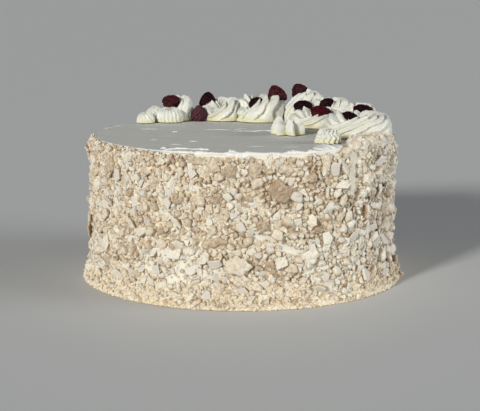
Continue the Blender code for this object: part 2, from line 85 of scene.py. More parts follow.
# The cake under its coat: ice cream and meringue, round, masked with whipped cream that is drawn smooth on
# top with a palette knife, which leaves faint streaks.
# It is one turned surface, whose height and radius vary by a few tenths of a millimetre.
CAKE_HEIGHT = 0.1042
CREAM_RADIUS = 0.1078
RIM_ROUNDING = 0.0022
CREAM_COLUMNS = 640
SIDE_RINGS = 24
RIM_RINGS = 6
TOP_RINGS = 96
# The cake turned under the knife, so its strokes are arcs about a point behind the cake.
STROKE_CENTRE = (-0.02, 0.26)


def cell_number(cell, seed):
    """A scrambled whole number for each cell of a cubic lattice, from its three places and a seed."""
    x, y, z = np.moveaxis(cell, -1, 0)
    mixed = (x * 73856093) ^ (y * 19349663) ^ (z * 83492791) ^ (seed * 265443)
    return ((mixed ^ (mixed >> 13)) * 1274126177) & 0xFFFFFFFF


def lattice_noise(points, cell, seed):
    """Smooth noise from -1 to 1: a random value at each point of a cubic lattice, eased between them."""
    scaled = points / cell
    base = np.floor(scaled).astype(np.int64)
    part = scaled - base
    part = part * part * (3.0 - 2.0 * part)
    total = np.zeros(points.shape[:-1])
    for corner in np.ndindex(2, 2, 2):
        mixed = cell_number(base + corner, seed)
        value = ((mixed ^ (mixed >> 16)) & 0xFFFF) / 32767.5 - 1.0
        total += value * np.prod(np.where(np.array(corner) == 1, part, 1.0 - part), axis=-1)
    return total


def eased(value, low, high):
    """0 below low, 1 above high and a smooth step between them."""
    share = np.clip((value - low) / (high - low), 0.0, 1.0)
    return share * share * (3.0 - 2.0 * share)


def full_turn(count):
    """This many angles, evenly spread round from 0."""
    return np.linspace(0.0, 2.0 * math.pi, count, endpoint=False)


def on_side(angle, height, reach):
    """Points at angles to the right of the front, heights and distances from the axis."""
    return np.stack((reach * np.sin(angle), -reach * np.cos(angle), height + 0.0 * angle), axis=-1)


def make_mesh(name, points, faces, finish, marks, crease=None):
    """A piece from its points and groups of faces, with its finish and its point marks.

    Edges that turn by more than the crease, in degrees, stay sharp."""
    corners = np.concatenate([group.ravel() for group in faces])
    sides = np.concatenate([np.full(len(group), group.shape[1]) for group in faces])
    mesh = bpy.data.meshes.new(name)
    mesh.vertices.add(len(points))
    mesh.vertices.foreach_set("co", np.ascontiguousarray(points, dtype=np.float32).ravel())
    mesh.loops.add(len(corners))
    mesh.loops.foreach_set("vertex_index", corners.astype(np.int32))
    mesh.polygons.add(len(sides))
    mesh.polygons.foreach_set("loop_start", (np.cumsum(sides) - sides).astype(np.int32))
    mesh.update(calc_edges=True)
    mesh.shade_smooth()
    if crease is not None:
        mesh.set_sharp_from_angle(angle=math.radians(crease))
    layer = mesh.attributes.new("marks", "FLOAT_COLOR", "POINT")
    layer.data.foreach_set("color", np.ascontiguousarray(marks, dtype=np.float32).ravel())
    mesh.materials.append(finish)
    piece = bpy.data.objects.new(name, mesh)
    bpy.context.scene.collection.objects.link(piece)
    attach(piece, "root")
    return piece


def closed_faces(rings, corners):
    """The squares between rings of corners, and the triangles that close the two ends on a point each.

    The rings run from the foot up, their corners to the left seen from above, and the two points follow."""
    here = np.arange(corners)
    right = np.roll(here, -1)
    foot = (np.arange(rings - 1) * corners)[:, None]
    sides = np.stack((foot + here, foot + right, foot + corners + right, foot + corners + here), axis=-1)
    last = (rings - 1) * corners
    under = np.stack((np.full(corners, rings * corners), right, here), axis=-1)
    over = np.stack((np.full(corners, rings * corners + 1), last + here, last + right), axis=-1)
    return sides.reshape(-1, 4), np.concatenate((under, over))


def with_ends(rows):
    """The points or marks of a stack of grids, each followed by the means of its end rows."""
    flat = rows.reshape(len(rows), -1, rows.shape[-1])
    return np.concatenate((flat, rows[:, :1].mean(axis=2), rows[:, -1:].mean(axis=2)), axis=1)


def repeated(faces, count, corners):
    """The faces of count copies of a shape with this many corners."""
    return (faces[None] + corners * np.arange(count)[:, None, None]).reshape(-1, faces.shape[1])


def closed_surfaces(name, stack, finish, marks=None):
    """Closed surfaces in one mesh, from a stack of grids whose columns wrap round and whose ends close."""
    points = with_ends(stack)
    count, corners = points.shape[:2]
    groups = [repeated(faces, count, corners) for faces in closed_faces(*stack.shape[1:3])]
    marks = np.zeros((count, corners, 4)) if marks is None else with_ends(marks)
    return make_mesh(name, points.reshape(-1, 3), groups, finish, marks.reshape(-1, 4))


def closed_surface(name, rows, finish, marks):
    """One closed surface from a grid of points and its marks."""
    return closed_surfaces(name, rows[None], finish, marks[None])


def knife_streaks(x, y):
    """Relief of the knife's streaks: noise that is fine across its strokes and long along them."""
    right, behind = x - STROKE_CENTRE[0], y - STROKE_CENTRE[1]
    across = np.hypot(right, behind)
    along = np.arctan2(right, -behind)
    fine = lattice_noise(np.stack((across, along * 0.060, 0.0 * x), axis=-1), 0.0011, 3)
    broad = lattice_noise(np.stack((across, along * 0.030, 0.0 * x), axis=-1), 0.0045, 4)
    ridge = np.maximum(fine - 0.55, 0.0) / 0.45
    return 0.00004 * fine + 0.00014 * broad + 0.00028 * ridge * eased(broad, -0.1, 0.6)


def cream_body():
    """The turned surface: base, side under the coat, rounded rim, and a top of rings that close."""
    bend = np.linspace(0.0, 0.5 * math.pi, RIM_RINGS + 1)[1:]
    inward = np.linspace(1.0, 0.0, TOP_RINGS + 1)[1:-1] ** 0.8
    heights = np.concatenate((
        [0.0, 0.0],
        np.linspace(0.002, CAKE_HEIGHT - RIM_ROUNDING, SIDE_RINGS),
        CAKE_HEIGHT - RIM_ROUNDING * (1.0 - np.sin(bend)),
        np.full(len(inward), CAKE_HEIGHT),
    ))
    reaches = np.concatenate((
        [0.05, CREAM_RADIUS],
        np.full(SIDE_RINGS, CREAM_RADIUS),
        CREAM_RADIUS - RIM_ROUNDING * (1.0 - np.cos(bend)),
        (CREAM_RADIUS - RIM_ROUNDING) * inward,
    ))
    around, height = np.meshgrid(full_turn(CREAM_COLUMNS), heights)
    reach = np.repeat(reaches[:, None], CREAM_COLUMNS, axis=1)
    flat = on_side(around, height, reach)
    side = eased(reach, CREAM_RADIUS - 0.003, CREAM_RADIUS) * eased(height, 0.0, 0.004)
    smear = lattice_noise(flat * (1.0, 1.0, 2.2), 0.009, 7)
    smear = smear + 0.4 * lattice_noise(flat * (1.0, 1.0, 2.5), 0.003, 8)
    reach = reach + 0.0005 * smear * side
    top = eased(height, CAKE_HEIGHT - RIM_ROUNDING, CAKE_HEIGHT)
    height = height - 0.0004 * top + knife_streaks(flat[..., 0], flat[..., 1]) * top
    return on_side(around, height, reach)


def set_inputs(node, values):
    """Puts values on some of a node's inputs."""
    for socket, value in values.items():
        node.inputs[socket].default_value = value


def add_node(tree, kind, inputs=None, **settings):
    """A shader node of this kind, with some of its settings and the values of some of its inputs."""
    node = tree.nodes.new("ShaderNode" + kind)
    for name, value in settings.items():
        setattr(node, name, value)
    set_inputs(node, inputs or {})
    return node


def wire(tree, *links):
    """Joins nodes: each link is a node, its output, the next node and that node's input."""
    for start, output, end, entry in links:
        tree.links.new(start.outputs[output], end.inputs[entry])


def new_group(name, inputs, outputs):
    """A node group that gives a colour and some values, with its end nodes. Each input has a first value."""
    group = bpy.data.node_groups.new(name, "ShaderNodeTree")
    for socket, value in inputs.items():
        kind = "NodeSocketColor" if isinstance(value, tuple) else "NodeSocketFloat"
        group.interface.new_socket(socket, in_out="INPUT", socket_type=kind).default_value = value
    group.interface.new_socket("Colour", in_out="OUTPUT", socket_type="NodeSocketColor")
    for socket in outputs:
        group.interface.new_socket(socket, in_out="OUTPUT", socket_type="NodeSocketFloat")
    return group, group.nodes.new("NodeGroupInput"), group.nodes.new("NodeGroupOutput")


def new_finish(name, shader_values):
    """A material, its node tree, its shader with some values, and the piece's marks split in three."""
    material = bpy.data.materials.new(name)
    material.use_nodes = True
    tree = material.node_tree
    shader = tree.nodes["Principled BSDF"]
    set_inputs(shader, shader_values)
    marks = add_node(tree, "Attribute", attribute_name="marks")
    split = add_node(tree, "SeparateColor")
    wire(tree, (marks, "Color", split, "Color"))
    return material, tree, shader, split


def group_finish(name, group, values, marks, depth, shader_values):
    """A finish whose colour and bumps come from a node group, which reads some of the piece's marks."""
    material, tree, shader, split = new_finish(name, shader_values)
    look = add_node(tree, "Group", values, node_tree=group)
    bump = add_node(tree, "Bump", {"Distance": depth})
    wire(
        tree,
        *((split, mark, look, entry) for mark, entry in marks.items()),
        (look, "Colour", shader, "Base Color"),
        (look, "Height", bump, "Height"),
        (bump, "Normal", shader, "Normal"),
    )
    if "Roughness" in look.outputs:
        wire(tree, (look, "Roughness", shader, "Roughness"))
    return material


# The soft mottling that every cream surface carries: a colour between two creams, and a fine uneven height.
# Where a mark says the cream lies hollow, it takes the yellower cream: a painted shade, tinted yellow.
# It is a shader node group, and each cream finish gives it its own colours.
mottle, mottle_in, mottle_out = new_group(
    "cream mottle",
    {"Cream": (0.86, 0.85, 0.79, 1.0), "Yellow": (0.82, 0.78, 0.60, 1.0), "Hollow Shade": 0.0},
    ("Height",),
)
mottle_place = add_node(mottle, "TexCoord")
mottle_cloud = add_node(mottle, "TexNoise", {"Scale": 220.0, "Detail": 4.0})
mottle_spread = add_node(mottle, "Math", {1: 0.35, 2: -0.14}, operation="MULTIPLY_ADD")
mottle_share = add_node(mottle, "Math", operation="ADD", use_clamp=True)
mottle_mix = add_node(mottle, "Mix", data_type="RGBA")
wire(
    mottle,
    (mottle_place, "Object", mottle_cloud, "Vector"),
    (mottle_cloud, "Fac", mottle_spread, 0),
    (mottle_spread, 0, mottle_share, 0),
    (mottle_in, "Hollow Shade", mottle_share, 1),
    (mottle_share, 0, mottle_mix, "Factor"),
    (mottle_in, "Cream", mottle_mix, "A"),
    (mottle_in, "Yellow", mottle_mix, "B"),
    (mottle_mix, "Result", mottle_out, "Colour"),
    (mottle_cloud, "Fac", mottle_out, "Height"),
)


def cream_finish(name, cream, yellow, roughness, depth):
    """Whipped cream: mottled between two tones, and yellower by the red mark, a painted shade in its
    hollows.
    """
    glow = {"Subsurface Weight": 0.20, "Subsurface Radius": (1.0, 0.85, 0.6), "Subsurface Scale": 0.003}
    colours = {"Cream": cream, "Yellow": yellow}
    return group_finish(name, mottle, colours, {"Red": "Hollow Shade"}, depth, {"Roughness": roughness, **glow})


# The cake's own cream is painted darker than the piped cream: a painted shade on its top, which gets less
# light.
smooth_cream_shaded = cream_finish(
    "smooth cream, painted shade", (0.645, 0.65, 0.602, 1.0), (0.635, 0.625, 0.555, 1.0), 0.62, 0.00015
)
body = closed_surfaces("cream_body", cream_body()[None], smooth_cream_shaded)
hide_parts("cake")

# The lip: where the knife left the edge, the cream stands up in a thin ragged rim and hangs over the coat.
# A closed band with a lens-shaped section, whose height, width and overhang vary along the rim.
LIP_COLUMNS = 2200
LIP_CORNERS = 14
# How far the middle of the lip lies below the top.
LIP_SETTLE = 0.0009
# How heavy the lip is: degrees to the right of the front, and its share of the full size.
LIP_WEIGHTS = (
    (-180.0, 0.6), (-130.0, 0.5), (-105.0, 0.15), (-70.0, 0.15), (-36.0, 0.22), (-28.0, 0.60), (-12.0, 0.75),
    (-7.0, 0.45), (-4.5, 1.30), (8.0, 1.25), (24.0, 1.10), (32.0, 0.60), (40.0, 0.55), (95.0, 0.5),
    (140.0, 0.9), (180.0, 0.6),
)


def read_off(chart, angle):
    """The value at an angle of a chart that gives values at some degrees to the right of the front."""
    return np.interp(np.degrees(angle), *np.array(chart).T)


def lip_rows():
    """Sections of the lip: a flattened oval that leans out over the coat, thick and thin by turns."""
    angle = np.linspace(-math.pi, math.pi, LIP_COLUMNS, endpoint=False)
    around, turn = np.meshgrid(angle, full_turn(LIP_CORNERS))
    spot = on_side(around, 0.0 * around, CREAM_RADIUS)
    weight = read_off(LIP_WEIGHTS, around)
    slow = lattice_noise(spot, 0.017, 71)
    quick = lattice_noise(spot, 0.0052, 72)
    tiny = lattice_noise(spot, 0.0016, 73)
    torn = np.maximum(tiny + 0.6 * quick, 0.0)
    rise = weight * (0.0007 + 0.0004 * slow + 0.0005 * quick + 0.0006 * torn)
    drop = weight * (0.0020 + 0.0007 * slow + 0.0007 * lattice_noise(spot, 0.0045, 74) + 0.0005 * tiny)
    half_width = weight * (0.0009 + 0.0003 * quick + 0.0003 * tiny) + 0.0002
    height = CAKE_HEIGHT - LIP_SETTLE + np.where(np.sin(turn) > 0.0, rise + 0.0003, drop) * np.sin(turn)
    height = height + 0.0003 * lattice_noise(spot + 0.5, 0.0030, 75) * weight
    reach = CREAM_RADIUS - 0.0003 + half_width * np.cos(turn) - 0.30 * (height - CAKE_HEIGHT + LIP_SETTLE)
    return on_side(around, height, reach)


def ring_surface(name, rows, finish):
    """A closed ring from a grid whose rows and columns both wrap round."""
    count, columns = rows.shape[:2]
    row, column = np.indices((count, columns))
    here, below = row * columns, (row + 1) % count * columns
    beside = (column + 1) % columns
    quads = np.stack((here + column, here + beside, below + beside, below + column), axis=-1)
    marks = np.zeros((count * columns, 4))
    return make_mesh(name, rows.reshape(-1, 3), (quads.reshape(-1, 4),), finish, marks)


# The lip and the knife's ridges are the same cream painted lighter: a painted highlight.
highlit_cream = cream_finish("cream, painted highlight", (0.87, 0.86, 0.81, 1.0), (0.80, 0.77, 0.66, 1.0), 0.45, 0.0002)
lip = ring_surface("cream_lip", lip_rows(), highlit_cream)
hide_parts("cake")

# The ridges that the palette knife's edge left on the top, with a curl where it was lifted off at the rim.
# Each is a thin wisp of cream: a low oval section along a slightly bent line that tapers to both ends.
# Ridges: x, y, length, width, turn to the left in degrees, height.
KNIFE_RIDGES = (
    (-0.0190, 0.0200, 0.0230, 0.0007, -7.0, 0.00028),
    (0.0030, 0.0115, 0.0200, 0.0006, -9.0, 0.00024),
    (-0.0500, 0.0072, 0.0050, 0.0013, 40.0, 0.00060),
    (-0.0340, -0.0475, 0.0065, 0.0010, -12.0, 0.00040),
    (-0.0455, -0.0640, 0.0080, 0.0008, -9.0, 0.00030),
    (-0.0030, 0.0200, 0.0060, 0.0008, -10.0, 0.00030),
    (0.0010, 0.0290, 0.0100, 0.0007, -14.0, 0.00026),
    (-0.0620, -0.0400, 0.0050, 0.0007, 0.0, 0.00026),
    (0.0170, 0.0140, 0.0190, 0.0028, -6.0, 0.00050),
    (-0.0430, -0.0880, 0.0190, 0.0013, 12.0, 0.00085),
    (-0.0290, -0.0890, 0.0120, 0.0012, 14.0, 0.00075),
    (-0.0250, -0.0915, 0.0060, 0.0016, 8.0, 0.00095),
    (-0.0530, -0.0845, 0.0045, 0.0014, 20.0, 0.00080),
    (-0.0080, -0.1020, 0.0036, 0.0021, 75.0, 0.00190),
    (-0.0060, -0.1045, 0.0060, 0.0016, -10.0, 0.00120),
    (0.0575, -0.0815, 0.0230, 0.0150, 36.0, 0.00190),
    (0.0400, 0.0200, 0.0120, 0.0008, 6.0, 0.00030),
    (-0.0700, 0.0250, 0.0140, 0.0007, -4.0, 0.00024),
    (0.0100, -0.0750, 0.0160, 0.0006, 3.0, 0.00020),
    (0.0330, -0.0780, 0.0120, 0.0006, 8.0, 0.00020),
)
RIDGE_SECTIONS = 48
RIDGE_CORNERS = 12


def rotated(x, y, angle):
    """Both coordinates of points turned to the left by an angle."""
    return x * np.cos(angle) - y * np.sin(angle), x * np.sin(angle) + y * np.cos(angle)


def ridge_stack():
    """A stack of wisps: an oval along a line, as wide as the root of one less the squared share along it."""
    x, y, length, width, turn, height = (column[:, None, None] for column in np.array(KNIFE_RIDGES).T)
    sections = np.linspace(-0.995, 0.995, RIDGE_SECTIONS)
    along, corner = np.meshgrid(sections, full_turn(RIDGE_CORNERS), indexing="ij")
    rank = np.arange(len(KNIFE_RIDGES))[:, None, None]
    spot = np.stack(np.broadcast_arrays(0.5 * length * along, 0.01 * rank, 0.0 * along), axis=-1)
    ragged = 1.0 + 0.35 * lattice_noise(spot, 0.0016, 91) + 0.25 * lattice_noise(spot, 0.0042, 92)
    full = np.sqrt(1.0 - along ** 2) * ragged
    bend = 0.030 * length * (np.cos(1.3 * math.pi * along) + np.sin(3.0 * along + rank))
    across = 0.5 * width * full * np.cos(corner) + bend
    forward, left = rotated(0.5 * length * along, across, np.radians(turn))
    level = CAKE_HEIGHT - 0.0004 + height * full * np.sin(corner)
    return np.stack((x + forward, y + left, level), axis=-1)


# The ridges take the lip's cream, with its painted highlight.
ridges_left = closed_surfaces("knife_ridges", ridge_stack(), highlit_cream)
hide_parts("cake")

# The bed of the coat: fine crumbs of meringue pressed into the cream of the side, and banked round its foot.
# It is bare where the knife left a smear of cream, and where the coat parts in a strip at the front right.
# A closed band whose outer face carries a bump for each crumb.
BED_RADIUS = 0.1083
BED_COLUMNS = 690
BED_ROWS = 108
FOOT_RADIUS = 0.1168
FOOT_BANK_HEIGHT = 0.022
BANK_CURVE = 1.6
PARTING_ANGLE = 43.0
# How far in the hidden edges of the bed reach: just below the cream, and on towards the axis.
BED_TUCK = 0.0030
BED_HOLLOW = 0.04
# Smears of bare cream: degrees right of the front, height, half width, half height, slope to the right.
BARE_SMEARS = (
    (6.0, 0.0485, 0.0105, 0.0032, -0.15),
    (10.0, 0.0450, 0.0060, 0.0046, -0.60),
    (15.5, 0.0400, 0.0090, 0.0042, -0.40),
    (20.5, 0.0360, 0.0065, 0.0030, -0.10),
    (25.5, 0.0240, 0.0060, 0.0034, 0.15),
    (30.5, 0.0205, 0.0040, 0.0026, -0.20),
    (34.5, 0.0240, 0.0050, 0.0030, 0.30),
    (-22.0, 0.0235, 0.0030, 0.0085, 0.10),
    (-25.5, 0.0170, 0.0050, 0.0036, 0.0),
    (-20.5, 0.0965, 0.0030, 0.0045, 0.0),
    (-12.5, 0.0830, 0.0045, 0.0020, 0.0),
    (31.0, 0.1010, 0.0080, 0.0052, -0.15),
    (118.0, 0.0380, 0.0130, 0.0045, -0.30),
    (150.0, 0.0760, 0.0090, 0.0035, 0.25),
    (-128.0, 0.0520, 0.0110, 0.0042, 0.20),
    (-80.0, 0.0820, 0.0080, 0.0032, -0.20),
    (-165.0, 0.0300, 0.0100, 0.0040, 0.10),
)
# How far the bare cream of the rim comes down the side: degrees to the right of the front, and depth.
RIM_DEPTHS = (
    (-180.0, 0.0030), (-100.0, 0.0030), (-70.0, 0.0006), (-38.0, 0.0008), (-26.0, 0.0030), (24.0, 0.0044),
    (40.0, 0.0030), (46.0, -0.0010), (72.0, -0.0010), (80.0, 0.0012), (120.0, 0.0030), (180.0, 0.0030),
)


def wrapped(angle):
    """Angles brought to within half a turn of 0."""
    return angle - 2.0 * math.pi * np.round(angle / (2.0 * math.pi))


def around_wall(angle, degrees):
    """Distance round the wall from an angle given in degrees."""
    return wrapped(angle - math.radians(degrees)) * BED_RADIUS


def parting_share(angle, height, ragged):
    """1 in the parting and 0 beside it: a crack that wanders, and widens to a strip under the rim."""
    wander = around_wall(angle, PARTING_ANGLE) - 0.0010 * np.sin(height * 130.0) - 0.0006 * ragged
    wander = wander - 0.0022 * eased(height, 0.058, 0.080)
    half = 0.0007 + 0.0029 * eased(height, 0.064, 0.080)
    return eased(-np.abs(wander), -half - 0.0005, -half) * eased(height, 0.010, 0.014)


def bareness(angle, height):
    """How bare the cream is, and the parting's share of it: rim, smears and parting, with ragged edges."""
    place = on_side(angle, height, BED_RADIUS)
    ragged = 0.55 * lattice_noise(place, 0.006, 21) + 0.45 * lattice_noise(place, 0.0025, 22)
    rim = CAKE_HEIGHT - read_off(RIM_DEPTHS, angle) + 0.0012 * ragged
    rim = rim + 0.0012 * lattice_noise(place, 0.019, 23)
    bare = eased(height, rim, rim + 0.0008)
    for degrees, middle, half_width, half_height, slope in BARE_SMEARS:
        across = around_wall(angle, degrees)
        up = height - middle - slope * across
        within = np.hypot(across / half_width, up / half_height) + 0.45 * ragged
        bare = np.maximum(bare, eased(-within, -1.0, -0.75))
    strip = parting_share(angle, height, ragged)
    return np.maximum(bare, strip), strip


# A chart of the bareness in steps round the wall and up it, for all that is laid on the wall.
CHART_STEPS = (1600, 260)
chart_angles = np.linspace(-math.pi, math.pi, CHART_STEPS[0], endpoint=False)
chart_heights = np.linspace(0.0, CAKE_HEIGHT, CHART_STEPS[1])
bare_chart = bareness(*np.meshgrid(chart_angles, chart_heights, indexing="ij"))[0]


def bare_at(angle, height):
    """The bareness at the nearest point of the chart."""
    column = np.rint((angle + math.pi) / (2.0 * math.pi) * CHART_STEPS[0]).astype(int) % CHART_STEPS[0]
    row = np.clip(np.rint(height / CAKE_HEIGHT * (CHART_STEPS[1] - 1)), 0, CHART_STEPS[1] - 1).astype(int)
    return bare_chart[column, row]


def creaminess(angle, height):
    """How much cream lies over the crumbs, from 0 to 1: clouds, more on the right, none in the bank."""
    place = on_side(angle, height, BED_RADIUS)
    cloud = 0.6 * lattice_noise(place, 0.016, 34) + 0.4 * lattice_noise(place, 0.006, 35)
    right = eased(-np.abs(around_wall(angle, 62.0)), -0.055, -0.030)
    low = eased(-height, -0.050, -0.030)
    return eased(cloud + 0.30 * low + 0.42 * right - 1.2 * eased(-height, -0.018, -0.011), -0.05, 0.50)


def bank_share(height):
    """How far the bank of crumbs stands out at a height, as a share of how far it does at the foot."""
    return np.clip(1.0 - height / FOOT_BANK_HEIGHT, 0.0, 1.0) ** BANK_CURVE


def crumb_bumps(points, cell, seed):
    """A bump for each crumb: height from 0 to 1, by the distance to the nearest of one random point a cell.

    The second result is that crumb's own random number."""
    scaled = points / cell
    base = np.floor(scaled).astype(np.int64)
    nearest = np.full(points.shape[:-1], 9.0)
    owner = np.zeros(points.shape[:-1])
    for corner in np.ndindex(3, 3, 3):
        index = base + corner - 1
        mixed = cell_number(index, seed)
        mixed = mixed ^ (mixed >> 15)
        offset = np.stack((mixed & 0x3FF, (mixed >> 10) & 0x3FF, (mixed >> 20) & 0x3FF), axis=-1) / 1023.0
        apart = np.linalg.norm(index + offset - scaled, axis=-1)
        closer = apart < nearest
        nearest = np.where(closer, apart, nearest)
        owner = np.where(closer, ((mixed * 40503) & 0xFFFF) / 65535.0, owner)
    return np.sqrt(np.clip(1.0 - (nearest / 0.85) ** 2, 0.0, 1.0)), owner


def crumb_bed():
    """The bed's face: wall and bank, raised by crumbs of two sizes. Both edges turn in below the cream."""
    angle = full_turn(BED_COLUMNS)
    top = CAKE_HEIGHT - 0.0012
    around, height = np.meshgrid(angle, np.linspace(0.0, top, BED_ROWS))
    wall = BED_RADIUS + (FOOT_RADIUS - BED_RADIUS) * bank_share(height)
    place = on_side(around, height, wall)
    fine, fine_tone = crumb_bumps(place, 0.0019, 31)
    coarse = crumb_bumps(place, 0.0046, 32)[0]
    raised = 0.00090 * fine + 0.00120 * coarse + 0.0004 * lattice_noise(place, 0.011, 33)
    bare, strip = bareness(around, height)
    reach = wall + raised * (1.0 - bare)
    reach = reach + (0.0003 * bare + 0.0003 * strip) * eased(height, 0.0, 0.02)
    reach = np.where(height <= 0.0, np.minimum(reach, FOOT_RADIUS + 0.0006), reach)
    tuck = CREAM_RADIUS - BED_TUCK
    under = [on_side(angle, 0.0, inner) for inner in (BED_HOLLOW, tuck)]
    over = [on_side(angle, top - 0.004, inner) for inner in (tuck, BED_HOLLOW)]
    rows = np.stack([*under, *on_side(around, height, reach), *over])
    creamy = 0.85 * creaminess(around, height) * (0.4 + 0.6 * coarse)
    marks = np.zeros((len(rows), BED_COLUMNS, 4))
    marks[2:-2, :, 0] = 0.80 * fine_tone
    # Green: how high the crumb bumps stand; low between them, where the crack colour lays a painted shade.
    marks[2:-2, :, 1] = 0.5 * fine + 0.5 * coarse
    marks[2:-2, :, 2] = np.maximum(creamy, bare * (1.0 - 0.30 * strip))
    marks[..., 3] = 1.0
    return rows, marks


# The look that the bed and the fine crumbs on it share: each crumb has its own tone on a scale of three
# colours with a fine speckle, the cracks between them are darker and browner, partly the brown of baked
# crumb and partly painted shade, and cream covers a share of them.
crust, crust_in, crust_out = new_group(
    "crumb crust",
    {
        "Light": (0.89, 0.84, 0.71, 1.0), "Middle": (0.83, 0.72, 0.51, 1.0), "Dark": (0.64, 0.46, 0.27, 1.0),
        "Crack": (0.34, 0.20, 0.09, 1.0), "Tone": 0.0, "Clear of Crack": 1.0, "Creamy": 0.0,
    },
    ("Height",),
)
crust_place = add_node(crust, "TexCoord")
crust_speckle = add_node(crust, "TexNoise", {"Scale": 900.0, "Detail": 3.0})
crust_tone = add_node(crust, "Math", {1: 0.45}, operation="MULTIPLY_ADD")
crust_beige = add_node(crust, "MapRange", {"From Min": 0.22, "From Max": 0.62})
crust_brown = add_node(crust, "MapRange", {"From Min": 0.62, "From Max": 1.0})
crust_clear = add_node(crust, "MapRange", {"From Max": 0.45})
to_middle, to_dark, to_crumb = (add_node(crust, "Mix", data_type="RGBA") for step in range(3))
to_cream = add_node(crust, "Mix", data_type="RGBA")
to_cream.inputs["B"].default_value = (0.86, 0.825, 0.71, 1.0)
wire(
    crust,
    (crust_place, "Object", crust_speckle, "Vector"),
    (crust_speckle, "Fac", crust_tone, 0),
    (crust_in, "Tone", crust_tone, 2),
    (crust_tone, 0, crust_beige, "Value"),
    (crust_tone, 0, crust_brown, "Value"),
    (crust_in, "Clear of Crack", crust_clear, "Value"),
    (crust_beige, "Result", to_middle, "Factor"),
    (crust_in, "Light", to_middle, "A"),
    (crust_in, "Middle", to_middle, "B"),
    (crust_brown, "Result", to_dark, "Factor"),
    (to_middle, "Result", to_dark, "A"),
    (crust_in, "Dark", to_dark, "B"),
    (crust_clear, "Result", to_crumb, "Factor"),
    (crust_in, "Crack", to_crumb, "A"),
    (to_dark, "Result", to_crumb, "B"),
    (crust_in, "Creamy", to_cream, "Factor"),
    (to_crumb, "Result", to_cream, "A"),
    (to_cream, "Result", crust_out, "Colour"),
    (crust_speckle, "Fac", crust_out, "Height"),
)


def crumb_finish(name, light, middle, dark, crack_shade):
    """Golden crumbs: tone by the red mark, the painted shade of the cracks by the green, cream by the blue.
    """
    colours = {"Light": light, "Middle": middle, "Dark": dark, "Crack": crack_shade}
    marks = {"Red": "Tone", "Green": "Clear of Crack", "Blue": "Creamy"}
    return group_finish(name, crust, colours, marks, 0.0003, {"Roughness": 0.80})


golden_crumbs = crumb_finish(
    "golden crumbs",
    light=(0.89, 0.84, 0.71, 1.0), middle=(0.83, 0.72, 0.51, 1.0),
    dark=(0.64, 0.46, 0.27, 1.0), crack_shade=(0.34, 0.20, 0.09, 1.0),
)
bed_rows, bed_marks = crumb_bed()
bed = closed_surface("crumb_bed", bed_rows, golden_crumbs, bed_marks)
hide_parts("cake")

# The meringue of the coat: shells broken by hand, from dust to pieces of 15 mm. Some show their smooth pale
# skin, others their crumbly beige or brown inside. They are pressed into the cream and lean every way.
# Each kind is one mesh of convex broken shapes with eased edges, laid on the wall off the bare cream.
SOLID_SEED = 11
SOLID_WALL_RADIUS = 0.1092
SOLID_FOOT_RADIUS = 0.1174
SOLID_CORNERS = 9
SOLID_PARTING_WIDTH = 0.0036
# Room that the solid keeps round a berry-sized shard.
SHARD_SPACE = 0.0008
# Smears of bare cream in the solid: degrees to the right of the front, height, half width, half height.
SOLID_SMEARS = (
    (9.0, 0.0425, 0.0110, 0.0055),
    (-22.0, 0.0215, 0.0070, 0.0080),
    (27.0, 0.0225, 0.0090, 0.0050),
    (118.0, 0.0380, 0.0100, 0.0060),
    (-128.0, 0.0520, 0.0090, 0.0060),
)
# Berry-sized shards: node, degrees to the right, height, length, width, thickness, turn, tone.
SHARDS = (
    ("shard_front", -1.5, 0.0299, 0.0190, 0.0140, 0.0042, -8.0, 0.30),
    ("shard_brown", 12.7, 0.0787, 0.0180, 0.0140, 0.0042, -30.0, 0.89),
    ("shard_right", 97.0, 0.0520, 0.0165, 0.0120, 0.0038, 35.0, 0.30),
    ("shard_back", 171.0, 0.0310, 0.0175, 0.0130, 0.0040, 12.0, 0.55),
    ("shard_back_left", -142.0, 0.0740, 0.0155, 0.0120, 0.0038, -40.0, 0.15),
    ("shard_left", -84.0, 0.0340, 0.0160, 0.0125, 0.0040, 20.0, 0.62),
)
# Large pieces of the front that the solid has too: degrees to the right, height, length, width, turn, tone.
SOLID_PIECES = (
    (-10.5, 0.0965, 0.0125, 0.0115, 0.0, 0.55),
    (-3.5, 0.0925, 0.0145, 0.0115, 15.0, 0.80),
    (5.0, 0.0930, 0.0145, 0.0125, 0.0, 0.62),
    (30.2, 0.0965, 0.0120, 0.0105, 80.0, 0.40),
    (-46.0, 0.0800, 0.0140, 0.0110, 60.0, 0.60),
    (-8.8, 0.0736, 0.0125, 0.0110, 10.0, 0.78),
    (-23.3, 0.0720, 0.0120, 0.0085, -30.0, 0.82),
    (-52.5, 0.0650, 0.0140, 0.0090, -65.0, 0.04),
    (-40.6, 0.0675, 0.0120, 0.0085, 0.0, 0.06),
    (-27.0, 0.0610, 0.0165, 0.0080, -25.0, 0.16),
    (6.7, 0.0570, 0.0130, 0.0125, 0.0, 0.84),
    (31.6, 0.0640, 0.0130, 0.0115, 20.0, 0.04),
    (-29.5, 0.0510, 0.0130, 0.0085, 40.0, 0.86),
    (-8.8, 0.0445, 0.0160, 0.0085, 0.0, 0.76),
    (51.5, 0.0430, 0.0190, 0.0080, 85.0, 0.10),
    (23.8, 0.0330, 0.0140, 0.0095, 25.0, 0.08),
    (52.7, 0.0270, 0.0120, 0.0090, 40.0, 0.55),
    (9.5, 0.0270, 0.0120, 0.0115, 0.0, 0.80),
    (-8.3, 0.0130, 0.0135, 0.0115, 30.0, 0.42),
    (85.0, 0.0790, 0.0135, 0.0175, 20.0, 0.50),
    (39.0, 0.1012, 0.0100, 0.0090, 20.0, 0.40),
    (49.5, 0.1040, 0.0100, 0.0085, 60.0, 0.12),
    (57.0, 0.1040, 0.0105, 0.0088, 100.0, 0.30),
    (63.5, 0.1025, 0.0095, 0.0078, 30.0, 0.12),
    (69.5, 0.1000, 0.0090, 0.0075, 120.0, 0.20),
)
